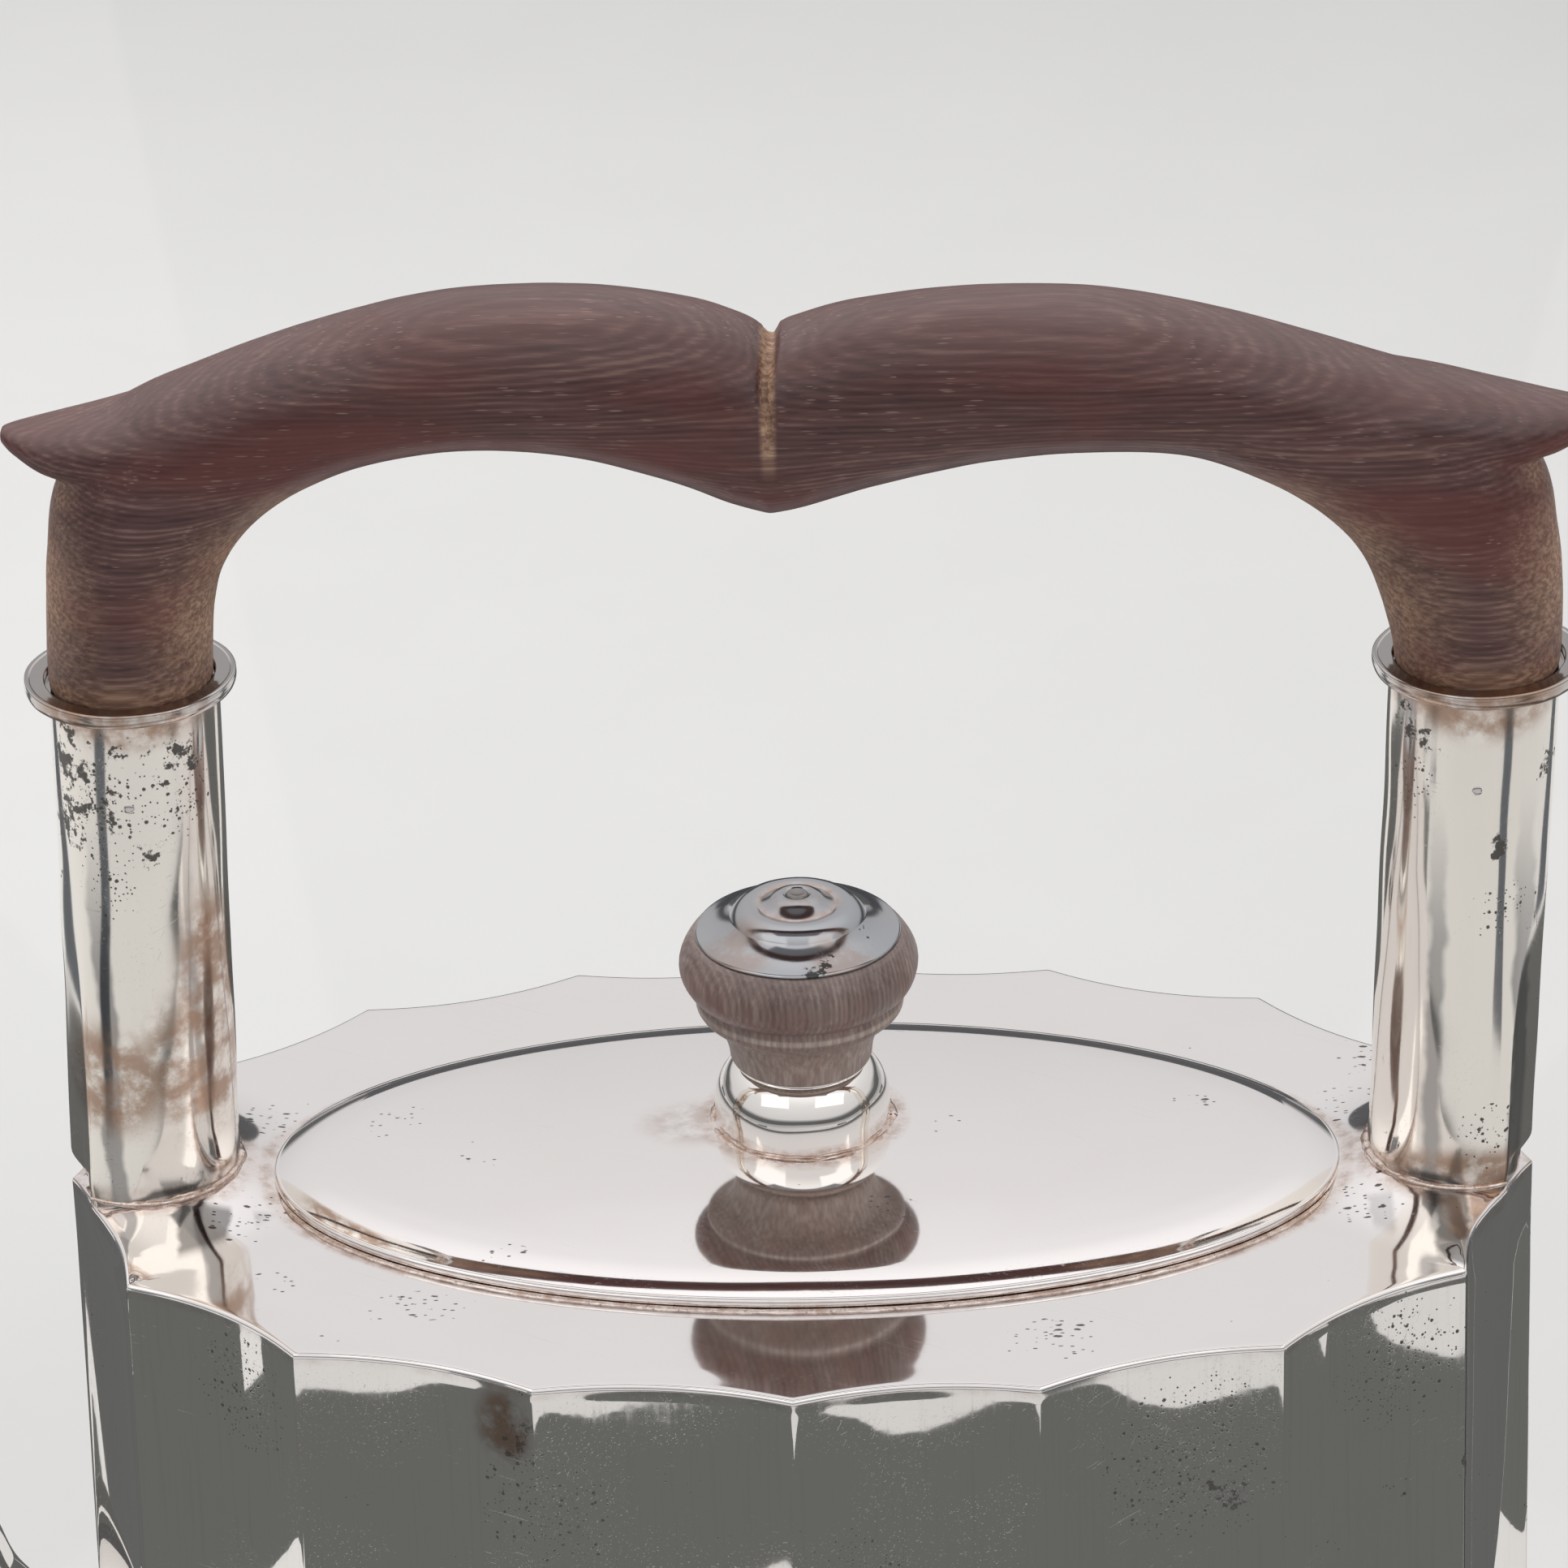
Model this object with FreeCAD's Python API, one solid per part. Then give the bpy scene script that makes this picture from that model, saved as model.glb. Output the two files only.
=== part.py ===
"""Silver teapot: an oval fluted pot with a spout, two upright posts, a carved
wooden handle across them, and a lid hinged at the back with a turned knob.

Millimetres. The origin is the middle of the flat base. X runs along the pot's
length with the spout at -X, +Y is the back, where the lid is hinged, and Z is up.
"""
import FreeCAD, Part
import math
import os

V = FreeCAD.Vector
UP = V(0, 0, 1)

# ---- the pot ----------------------------------------------------------------
deck_z = 92.0            # top face of the flat deck
sheet = 1.0              # thickness of the pot's walls, deck and base
half_length = 74.6
half_width = 44.6
# sharp ridges between the hollow flutes, round the oval from its +X end; handmade, so not quite even
ridges = [
    (73.6, 0.0), (66.0, 21.2), (47.6, 35.3), (25.2, 42.3), (-0.2, half_width), (-25.7, 42.4), (-48.0, 35.2),
    (-67.2, 21.2), (-75.5, 0.0), (-67.5, -21.7), (-49.8, -34.9), (-26.1, -42.0), (-0.9, -half_width),
    (22.8, -42.7), (46.6, -35.5), (65.3, -21.6),
]
shoulder_ridges = {-1: (9, 8, 7), 1: (15, 0, 1)}     # the three ridges round each post, front to back
flute_depth = 1.8        # how far each flute is hollowed in from its chord
wall_flare = 1.4         # the walls lean out by this much from the deck down to the bilge
bilge_z = 15.0           # below this the wall curves in to the base
base_inset = 4.0         # how far the base lies inside the deck's outline
rim_wire = 1.3           # width of the wire ring round the base
rim_height = 2.2

# ---- lid opening and lid ------------------------------------------------------
lid_x = -0.3
lid_y = 0.6
lid_a = 54.4             # half length of the lid
lid_b = 28.5             # half width of the lid
lid_edge_rise = 1.0      # top of the lid's rounded edge above the deck
lid_dome_rise = 2.9      # further rise at the lid's middle
lid_edge_round = 0.45    # radius of the lid's rounded edge
lid_sheet = 0.9
lid_gap = 0.1            # the closed lid's clearance over the bead it sits on
bezel_gap = 0.7          # between the lid's flange and the bezel
bezel_inset = 2.2        # the bezel's outer face lies this far inside the lid's outline
bezel_sheet = 0.8
bezel_depth = 8.0
bead_height = 0.3        # solder bead on the deck round the opening
flange_depth = 4.0       # the lid's flange reaches this far below the deck

# ---- hinge --------------------------------------------------------------------
hinge_x = -1.4
hinge_y = 31.6
hinge_z = deck_z + 1.75
knuckle_r = 1.6
knuckle_length = 5.2
knuckle_gap = 0.3
hinge_pin_r = 0.7
hinge_running_gap = 0.05
strap_thickness = 1.0

# ---- knob ---------------------------------------------------------------------
knob_x = -0.6
knob_y = 4.0
knob_foot_z = deck_z + 3.3
knob_foot_sink = 0.5     # the foot reaches down into the lid's dome before it is cut to fit
stud_r = 1.15
knob_top = 26.4          # height of the cap above the knob's foot, where the stud comes through
stud_head_r = 2.4
stud_head = 1.0          # thickness of the stud's head under the lid

# ---- posts, collars and pins ----------------------------------------------------
post_x = 65.8            # each post's axis at half height
post_lean = 0.65         # both posts lean this much towards +X at the top, and -X at the foot
post_foot_z = deck_z + 2.0
post_top_z = deck_z + 55.7
post_r = 8.35
post_bore_r = 7.2
# each post's front and back arrises and its outer ridge, out from its axis
arris = {-1: (6.1, 7.8), 1: (5.1, 8.2)}
ridge_x = {-1: 9.0, 1: 8.4}
facet_depth = 0.45
collar_r = 10.4
collar_height = 1.6
collar_recess_r = 8.45
collar_shift = 0.35      # how far a collar stands out from its post's axis
collar_floor = 0.6       # thickness of the ledge that the handle stands on
seam = 0.6               # size of the solder seams
shoulder_inner_x = 55.9  # where the raised shoulder dies into the deck
tenon_r = 7.15
tenon_length = 26.0
cross_pin_r = 0.6
cross_pin_z = deck_z + 46.3

# ---- handle: pairs of (inner, outer) points of its side view, height over the deck ----
handle_left = [
    ((-57.4, 56.3), (-73.4, 56.3)), ((-57.1, 62.0), (-73.3, 62.0)), ((-56.4, 66.0), (-72.9, 67.0)),
    ((-54.9, 70.3), (-72.1, 75.9)), ((-52.2, 73.6), (-67.3, 84.2)), ((-47.4, 77.2), (-56.1, 89.5)),
    ((-40.2, 80.0), (-43.8, 94.0)), ((-31.0, 81.1), (-31.5, 96.6)), ((-20.9, 80.3), (-19.6, 96.6)),
    ((-10.9, 77.3), (-9.1, 95.2)), ((-2.3, 74.4), (-2.3, 92.4)),
]
handle_right = [
    ((58.6, 56.3), (74.6, 56.3)), ((58.0, 62.0), (74.8, 62.0)), ((56.1, 66.2), (74.5, 67.0)),
    ((54.1, 69.9), (73.3, 75.4)), ((51.6, 72.4), (68.8, 83.6)), ((46.6, 76.2), (55.1, 88.7)),
    ((38.2, 79.4), (41.8, 93.2)), ((29.0, 80.0), (29.6, 95.7)), ((19.4, 79.2), (18.1, 95.9)),
    ((8.4, 76.7), (5.9, 94.9)), ((-2.3, 74.4), (-2.3, 92.4)),
]
handle_half_depth = 8.3
leg_half_depths = [7.9, 8.0, 8.2]  # of the lowest three sections of a leg
# the pointed beaks: (distance out along X, lower height, upper height, half depth)
beak = [(56.0, 77.0, 87.6, 7.6), (64.0, 77.6, 85.8, 7.2), (71.5, 78.9, 84.1, 5.4), (75.9, 82.0, 83.8, 1.9)]
beak_shift = {"left": 0.0, "right": 1.9}
notch_x = -2.1
notch_width = 2.2
notch_depth = 2.0
section_fullness = 1.04  # how much fuller than an ellipse the handle's and spout's sections are
section_fullness = 1.04  # how much fuller than an ellipse the handle's and spout's sections are

# ---- spout: pairs of (outer, inner) points of its side view, with its half width ----
spout_sections = [
    ((-70.0, 10.0), (-70.0, 38.0), 11.5), ((-84.0, 14.0), (-79.8, 39.0), 10.2),
    ((-97.0, 27.0), (-84.4, 42.8), 9.0), ((-102.8, 42.0), (-86.6, 48.6), 8.0),
    ((-105.6, 56.0), (-89.6, 59.6), 7.2), ((-109.2, 70.0), (-94.2, 72.0), 6.5),
    ((-114.6, 82.0), (-100.6, 83.0), 6.0), ((-121.8, 93.0), (-108.4, 93.0), 5.6),
]
spout_sheet = 0.9
strainer_hole_r = 1.3
strainer_pitch = 6.0
strainer_z = 24.5


# ---- helpers --------------------------------------------------------------------
def save(shape, name):
    """Write one sub-part to its own STEP file."""
    shape.exportStep("parts/%s.step" % name)


def unit_normal(x, y):
    """Outward normal of the pot's oval at a ridge."""
    normal = V(x / half_length ** 2, y / half_width ** 2, 0)
    return normal.normalize()


def ridge_points(inset):
    """All sixteen ridges in order round the oval, moved in by inset."""
    points = []
    for x, y in ridges:
        points.append(V(x, y, 0) - unit_normal(x, y) * inset)
    return points


def hollow_arc(start, end, depth, inward):
    """An arc from start to end, hollowed by depth along inward."""
    middle = (start + end) * 0.5 + inward * depth
    return Part.Arc(start, middle, end).toShape()


def fluted_wire(z, inset):
    """The pot's fluted outline at one height."""
    points = ridge_points(inset)
    edges = []
    for start, end in zip(points, points[1:] + points[:1]):
        middle = (start + end) * 0.5
        inward = -unit_normal(middle.x, middle.y)
        edges.append(hollow_arc(start + UP * z, end + UP * z, flute_depth, inward))
    return Part.Wire(edges)


def fluted_solid(extra):
    """The pot's outer form, everywhere moved in by extra."""
    curve = []
    for step in range(5):
        angle = math.pi / 2 * step / 4
        z = bilge_z - (bilge_z - sheet) * math.cos(angle)
        inset = base_inset - (base_inset + wall_flare) * math.sin(angle)
        curve.append(fluted_wire(z, inset + extra))
    lower = Part.makeLoft(curve, True, False)
    walls = [fluted_wire(bilge_z, extra - wall_flare), fluted_wire(deck_z - sheet, extra)]
    upper = Part.makeLoft(walls, True, True)
    return lower.fuse(upper)


def fluted_plate(z, height, inset):
    """A flat plate with the pot's fluted outline."""
    return Part.Face(fluted_wire(z, inset)).extrude(UP * height)


def oval_prism(a, b, z, height):
    """An elliptical block centred on the lid."""
    ellipse = Part.Ellipse(V(lid_x, lid_y, z), a, b)
    return Part.Face(Part.Wire(ellipse.toShape())).extrude(UP * height)


def oval_ring(a, b, width, z, height):
    """An elliptical ring whose wall has the given width all round."""
    inside = oval_prism(a - width, b - width, z - 1, height + 2)
    return oval_prism(a, b, z, height).cut(inside)


def turned(profile, x, y, z):
    """A solid turned from a half outline: (radius, height) points, with (radius, height,
    "arc") marking a point that an arc passes through on its way to the next point."""
    edges = []
    start = V(profile[0][0], 0, profile[0][1])
    via = None
    for point in profile[1:]:
        here = V(point[0], 0, point[1])
        if len(point) == 3:
            via = here
            continue
        edge = Part.Arc(start, via, here).toShape() if via else Part.makeLine(start, here)
        edges.append(edge)
        start = here
        via = None
    edges.append(Part.makeLine(start, V(profile[0][0], 0, profile[0][1])))
    solid = Part.Face(Part.Wire(edges)).revolve(V(0, 0, 0), UP, 360)
    solid.translate(V(x, y, z))
    return solid


def dome_middle(radius, rim_z, rise):
    """The point half way out on a shallow dome's half outline, for turned()."""
    ball = (radius ** 2 + rise ** 2) / (2 * rise)
    return (radius / 2, rim_z + rise - ball + math.sqrt(ball ** 2 - radius ** 2 / 4), "arc")


def oval_section(near, far, half_depth, thin=0.0):
    """A closed rounded section across the side view, from near to far, each an (x, z) pair,
    made of four arcs and a little fuller than an ellipse."""
    low = V(near[0], 0, near[1])
    high = V(far[0], 0, far[1])
    centre = (low + high) * 0.5
    reach = (high - low) * 0.5
    reach = reach * ((reach.Length - thin) / reach.Length)
    across = V(0, half_depth - thin, 0)
    points = []
    for step in range(8):
        angle = math.pi * step / 4
        fullness = section_fullness if step % 2 else 1.0
        points.append(centre + (reach * math.cos(angle) + across * math.sin(angle)) * fullness)
    edges = []
    for first in range(0, 8, 2):
        edges.append(Part.Arc(points[first], points[first + 1], points[(first + 2) % 8]).toShape())
    return Part.Wire(edges)


# ---- the pot's shell ---------------------------------------------------------------
def make_body_wall():
    """Fluted wall, open at the top and bottom, pierced with straining holes at the spout."""
    wall = fluted_solid(0).cut(fluted_solid(sheet))
    ends = Part.makeBox(400, 400, 2 * sheet, V(-200, -200, -sheet))
    wall = wall.cut(ends)
    opening = fluted_plate(0, 3 * sheet, base_inset + sheet)
    wall = wall.cut(opening)
    opening = fluted_plate(deck_z - 3 * sheet, 4 * sheet, sheet)
    wall = wall.cut(opening)
    for row in (-1, 0, 1):
        for column in (-1, 0, 1):
            start = V(-half_length - 8, column * strainer_pitch, strainer_z + row * strainer_pitch)
            wall = wall.cut(Part.makeCylinder(strainer_hole_r, 20, start, V(1, 0, 0)))
    return wall


def make_base_plate():
    """Flat sheet that closes the pot underneath and is its resting face."""
    return fluted_plate(0, sheet, base_inset)


def make_foot_rim():
    """Wire ring soldered round the base plate and the foot of the wall."""
    ring = fluted_plate(0, rim_height, base_inset - rim_wire)
    ring = ring.cut(make_base_plate())
    return ring.cut(fluted_solid(0))


def post_axis_x(side, z):
    """X of a post's axis at height z; side is -1 for left and 1 for right."""
    middle = (post_foot_z + post_top_z) / 2
    return side * post_x + post_lean * (z - middle) / (post_top_z - middle)


def post_foot_wire(side, z, grow):
    """The post's outline at its foot: two hollow facets outside, round inside."""
    x = post_axis_x(side, post_foot_z)
    arris_x, arris_y = arris[side]
    front = V(x + side * (arris_x + grow * 0.5), -arris_y - grow, z)
    ridge = V(x + side * (ridge_x[side] + grow), 0, z)
    back = V(front.x, -front.y, z)
    inner = V(x - side * (post_r + grow), 0, z)
    bulge = V(x - side * (post_r + grow) * 0.6, (post_r + grow) * 0.87, z)
    edges = [
        hollow_arc(front, ridge, facet_depth, V(-side, 0, 0)),
        hollow_arc(ridge, back, facet_depth, V(-side, 0, 0)),
        Part.Arc(back, bulge, inner).toShape(),
        Part.Arc(inner, V(bulge.x, -bulge.y, z), front).toShape(),
    ]
    return Part.Wire(edges)


def post_top_wire(side, z):
    """The post's round top, split at the same four places as its foot."""
    x = post_axis_x(side, z)
    arris_x, arris_y = arris[side]
    half_angle = math.atan2(arris_y, arris_x)
    corners = [-half_angle, 0, half_angle, math.pi, 2 * math.pi - half_angle]
    edges = []
    for a0, a1 in zip(corners, corners[1:]):
        points = []
        for angle in (a0, (a0 + a1) / 2, a1):
            points.append(V(x + side * post_r * math.cos(angle), post_r * math.sin(angle), z))
        edges.append(Part.Arc(*points).toShape())
    return Part.Wire(edges)


def shoulder(side):
    """Raised end of the deck that sweeps up to a post's foot."""
    z = deck_z - 0.5 * sheet
    ends = [V(*ridges[index], z) for index in shoulder_ridges[side]]
    inner = V(side * shoulder_inner_x, 0, z)
    edges = []
    for start, end in zip(ends, ends[1:]):
        middle = (start + end) * 0.5
        edges.append(hollow_arc(start, end, flute_depth, -unit_normal(middle.x, middle.y)))
    edges.append(Part.Arc(ends[2], V(side * 58.4, 12.0, z), inner).toShape())
    edges.append(Part.Arc(inner, V(side * 58.4, -12.0, z), ends[0]).toShape())
    return Part.makeLoft([Part.Wire(edges), post_foot_wire(side, post_foot_z, 0)], True, True)


def make_deck_plate():
    """Flat top of the pot with the lid opening and the two raised shoulders."""
    plate = fluted_plate(deck_z - sheet, sheet, 0)
    for side in (-1, 1):
        plate = plate.fuse(shoulder(side))
    a = lid_a - bezel_inset
    b = lid_b - bezel_inset
    return plate.cut(oval_prism(a, b, deck_z - 5, 10)).removeSplitter()


def make_lid_bezel():
    """Collar soldered into the deck's opening, with a low bead on the deck."""
    a = lid_a - bezel_inset
    b = lid_b - bezel_inset
    collar = oval_ring(a, b, bezel_sheet, deck_z - bezel_depth, bezel_depth + bead_height)
    bead_width = bezel_inset + 0.5
    bead = oval_ring(lid_a + 0.5, lid_b + 0.5, bead_width, deck_z, bead_height)
    return collar.fuse(bead).removeSplitter()


# ---- spout ------------------------------------------------------------------------
def make_spout():
    """Tapered hollow spout, open at both ends, its root shaped to the wall."""
    outer = Part.makeLoft([oval_section(a, b, w) for a, b, w in spout_sections], True, False)
    channel = Part.makeLoft([oval_section(a, b, w, spout_sheet) for a, b, w in spout_sections], True, False)
    return outer.cut(channel).cut(fluted_solid(0))


def make_spout_seam(spout):
    """Solder seam round the spout's root."""
    near_wall = fluted_solid(-seam)
    sections = [oval_section(a, b, w, -seam) for a, b, w in spout_sections[:3]]
    bead = Part.makeLoft(sections, True, False).common(near_wall)
    channel_sections = [oval_section(a, b, w, spout_sheet) for a, b, w in spout_sections[:3]]
    bead = bead.cut(Part.makeLoft(channel_sections, True, False))
    return bead.cut(fluted_solid(0)).cut(spout)


# ---- posts and what is on them -------------------------------------------------------
def cross_pin_axis(side):
    """Start of a handle pin, just proud of the post's front."""
    return V(post_axis_x(side, cross_pin_z), -post_r - 0.15, cross_pin_z)


def make_cross_pin(side):
    """Round pin through a post and the handle's tenon."""
    return Part.makeCylinder(cross_pin_r, 2 * post_r + 0.3, cross_pin_axis(side), V(0, 1, 0))


def post_bore(side, radius, low, high):
    """A round rod along a post's leaning axis."""
    circles = []
    for z in (low, high):
        circle = Part.Circle(V(post_axis_x(side, z), 0, z), UP, radius)
        circles.append(Part.Wire(circle.toShape()))
    return Part.makeLoft(circles, True, True)


def make_post(side):
    """Hollow upright post, faceted outside at the foot and round at the top."""
    outer = Part.makeLoft([post_foot_wire(side, post_foot_z, 0), post_top_wire(side, post_top_z)], True, True)
    bore = post_bore(side, post_bore_r, post_foot_z - 2, post_top_z + 2)
    return outer.cut(bore).cut(make_cross_pin(side))


def make_post_seam(side, post):
    """Solder seam round the inner three sides of a post's foot."""
    ring = Part.Face(post_foot_wire(side, post_foot_z, seam)).extrude(UP * seam)
    ring = ring.cut(Part.Face(post_foot_wire(side, post_foot_z, -0.4)).extrude(UP * seam))
    outside = Part.makeBox(20, 60, 10, V(0, -30, deck_z))
    outside.translate(V(side * (post_x + arris[side][0] - 0.8) - (20 if side < 0 else 0), 0, 0))
    return ring.cut(outside).cut(post)


def make_collar(side):
    """Flat ring on a post's top, recessed for the handle's leg."""
    x = post_axis_x(side, post_top_z)
    profile = [
        (0, 0), (collar_r - 0.4, 0), (collar_r - 0.12, 0.12, "arc"), (collar_r, 0.4),
        (collar_r, collar_height - 0.3), (collar_r - 0.1, collar_height - 0.1, "arc"),
        (collar_r - 0.3, collar_height), (collar_recess_r, collar_height),
        (collar_recess_r, collar_floor), (0, collar_floor),
    ]
    collar = turned(profile, x + side * collar_shift, 0, post_top_z)
    return collar.cut(Part.makeCylinder(post_bore_r + 0.05, 3, V(x, 0, post_top_z - 1)))


# ---- handle -------------------------------------------------------------------------
def over_deck(point):
    """A side-view point with its height measured from the base."""
    return (point[0], point[1] + deck_z)


def handle_bar():
    """The whole arched bar, from one collar up, across the middle and down to the other."""
    wires = []
    sections = handle_left + handle_right[-2::-1]
    for index, (inner, outer) in enumerate(sections):
        from_foot = min(index, len(sections) - 1 - index)
        half_depth = leg_half_depths[from_foot] if from_foot < len(leg_half_depths) else handle_half_depth
        wires.append(oval_section(over_deck(inner), over_deck(outer), half_depth))
    return Part.makeLoft(wires, True, False)


def handle_beak(side, shift):
    """Pointed beak that stands out past a leg."""
    wires = []
    for out, low, high, half_depth in beak:
        x = side * (out + shift)
        wires.append(oval_section((x, deck_z + low), (x, deck_z + high), half_depth))
    return Part.makeLoft(wires, True, False)


def notch_wedge(face):
    """Wedge that cuts the groove down the front or back of the handle's middle."""
    rim = face * (handle_half_depth + 1.0)
    bottom = face * (handle_half_depth - notch_depth)
    z = deck_z + 79.0
    corners = [V(notch_x - notch_width, rim, z), V(notch_x, bottom, z), V(notch_x + notch_width, rim, z)]
    outline = Part.makePolygon(corners + corners[:1])
    return Part.Face(outline).extrude(UP * 25)


def make_handle():
    """Carved wooden handle: two arched arms, legs with tenons, beaks and a notch."""
    handle = handle_bar().fuse(handle_beak(-1, beak_shift["left"]))
    handle = handle.fuse(handle_beak(1, beak_shift["right"]))
    ledge = post_top_z + collar_floor
    for side in (-1, 1):
        tenon = post_bore(side, tenon_r, ledge - tenon_length, ledge + 3)
        handle = handle.fuse(tenon).cut(make_cross_pin(side))
    for face in (-1, 1):
        handle = handle.cut(notch_wedge(face))
    return handle


# ---- hinge ---------------------------------------------------------------------------
def knuckle(centre_offset, bore):
    """One hinge knuckle, centred at an offset along the hinge from its middle."""
    start = V(hinge_x + centre_offset - knuckle_length / 2, hinge_y, hinge_z)
    tube = Part.makeCylinder(knuckle_r, knuckle_length, start, V(1, 0, 0))
    return tube.cut(Part.makeCylinder(bore, knuckle_length, start, V(1, 0, 0)))


def knuckle_offset():
    """Distance from the middle knuckle's centre to an outer knuckle's centre."""
    return knuckle_length + knuckle_gap


def make_pot_hinge_knuckles():
    """The two outer knuckles, which stay with the pot and hold the pin."""
    tubes = [knuckle(side * knuckle_offset(), hinge_pin_r) for side in (-1, 1)]
    return Part.makeCompound(tubes)


def make_pot_hinge_plate():
    """Plate soldered to the deck behind the lid that carries the outer knuckles."""
    reach = knuckle_offset() + knuckle_length / 2
    plate = Part.makeBox(2 * reach, 6.5, strap_thickness, V(hinge_x - reach, hinge_y - 0.2, deck_z))
    room = Part.makeCylinder(knuckle_r + 0.25, knuckle_length + 2 * knuckle_gap,
                             V(hinge_x - knuckle_offset() + knuckle_length / 2, hinge_y, hinge_z), V(1, 0, 0))
    barrel = Part.makeCylinder(knuckle_r, 2 * reach, V(hinge_x - reach, hinge_y, hinge_z), V(1, 0, 0))
    return plate.cut(room).cut(barrel)


def make_hinge_pin():
    """Pin through all three knuckles."""
    reach = knuckle_offset() + knuckle_length / 2
    return Part.makeCylinder(hinge_pin_r, 2 * reach, V(hinge_x - reach, hinge_y, hinge_z), V(1, 0, 0))


def make_lid_hinge_knuckle():
    """The middle knuckle, which turns with the lid."""
    return knuckle(0, hinge_pin_r + hinge_running_gap)


def make_lid_hinge_strap(lid_plate):
    """Short strap that joins the middle knuckle to the lid's back edge."""
    back = lid_y + lid_b
    strap = Part.makeBox(knuckle_length, hinge_y - back + 2, strap_thickness,
                         V(hinge_x - knuckle_length / 2, back - 2, deck_z + 0.85))
    start = V(hinge_x - knuckle_length / 2, hinge_y, hinge_z)
    barrel = Part.makeCylinder(knuckle_r, knuckle_length, start, V(1, 0, 0))
    beyond = Part.makeBox(20, 10, 10, V(hinge_x - 10, hinge_y, deck_z - 3))
    return strap.cut(barrel).cut(beyond).cut(lid_plate).cut(lid_inside())


# ---- lid -------------------------------------------------------------------------------
def lid_form(inset, drop, z_low):
    """Domed oval solid: the lid's outer form, or the hollow under its sheet."""
    a = lid_a - inset
    edge = deck_z + lid_edge_rise - drop
    crown = edge + lid_dome_rise
    half = [
        (0, z_low), (a, z_low), (a, edge - lid_edge_round),
        (a - 0.3 * lid_edge_round, edge - 0.3 * lid_edge_round, "arc"), (a - lid_edge_round, edge),
        dome_middle(a - lid_edge_round, edge, lid_dome_rise), (0, crown),
    ]
    form = turned(half, 0, 0, 0)
    squeeze = FreeCAD.Matrix()
    squeeze.scale(V(1, (lid_b - inset) / a, 1))
    form = form.transformGeometry(squeeze)
    form.translate(V(lid_x, lid_y, 0))
    return form


def lid_inside():
    """The hollow under the lid's sheet."""
    return lid_form(lid_sheet, lid_sheet, deck_z - 2)


def make_lid_plate():
    """Domed oval lid of thin sheet with a turned-down edge."""
    return lid_form(0, 0, deck_z + bead_height + lid_gap).cut(lid_inside())


def make_lid_flange(lid_plate):
    """Ring under the lid that reaches down inside the bezel."""
    inset = bezel_inset + bezel_sheet + bezel_gap
    low = deck_z - flange_depth
    ring = oval_ring(lid_a - inset, lid_b - inset, bezel_sheet, low, 9)
    return ring.common(lid_inside().fuse(oval_prism(lid_a - 2, lid_b - 2, low, flange_depth))).cut(lid_plate)


# ---- knob --------------------------------------------------------------------------------
def make_knob_seam():
    """Solder seam round the ferrule's foot."""
    profile = [
        (8.9, -knob_foot_sink), (10.1, -knob_foot_sink), (10.1, 0.1), (9.75, 0.65, "arc"), (8.9, 0.95),
    ]
    return turned(profile, knob_x, knob_y, knob_foot_z)


def make_knob_ferrule():
    """Silver foot of the knob: a round-shouldered drum with a narrow neck."""
    profile = [
        (stud_r, -knob_foot_sink), (8.9, -knob_foot_sink), (8.9, 2.6), (8.6, 4.8, "arc"), (7.7, 6.3),
        (7.15, 7.0, "arc"), (6.5, 7.6), (stud_r, 7.6),
    ]
    return turned(profile, knob_x, knob_y, knob_foot_z)


def make_knob_wood():
    """Turned wooden knob: a cup, a bead and a fat round body."""
    profile = [
        (stud_r, 7.6), (6.5, 7.6), (7.2, 8.2), (7.95, 9.7, "arc"), (9.0, 11.1), (9.9, 12.2, "arc"),
        (10.3, 13.4), (10.5, 14.8, "arc"), (10.5, 16.0), (11.2, 16.3), (12.1, 18.9, "arc"), (10.8, 21.7),
        (10.5, 22.0), (stud_r, 22.0),
    ]
    return turned(profile, knob_x, knob_y, knob_foot_z)


def make_knob_cap():
    """Silver cap: a thin rim, a dished slope and a stepped boss."""
    profile = [
        (stud_r, 22.0), (10.35, 22.0), (10.35, 22.4), (8.3, 22.8, "arc"), (6.4, 24.0),
        (5.9, 24.8, "arc"), (5.2, 25.2), (3.9, 25.1), (2.4, 26.1, "arc"), (stud_r, knob_top),
    ]
    return turned(profile, knob_x, knob_y, knob_foot_z)


def make_knob_stud():
    """Rivet through the whole knob, closed over on the cap and under the lid."""
    lid_under = deck_z + lid_edge_rise + lid_dome_rise - lid_sheet - knob_foot_z
    profile = [
        (0, lid_under - stud_head), (stud_head_r, lid_under - stud_head), (stud_head_r, lid_under),
        (stud_r, lid_under), (stud_r, knob_top),
        dome_middle(stud_r, knob_top, 0.3), (0, knob_top + 0.3),
    ]
    return turned(profile, knob_x, knob_y, knob_foot_z)


# ---- build ---------------------------------------------------------------------------------
def fit_knob_foot(shape):
    """Shape a piece that stands on the lid to the lid's dome."""
    return shape.cut(lid_form(0, 0, deck_z))


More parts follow.
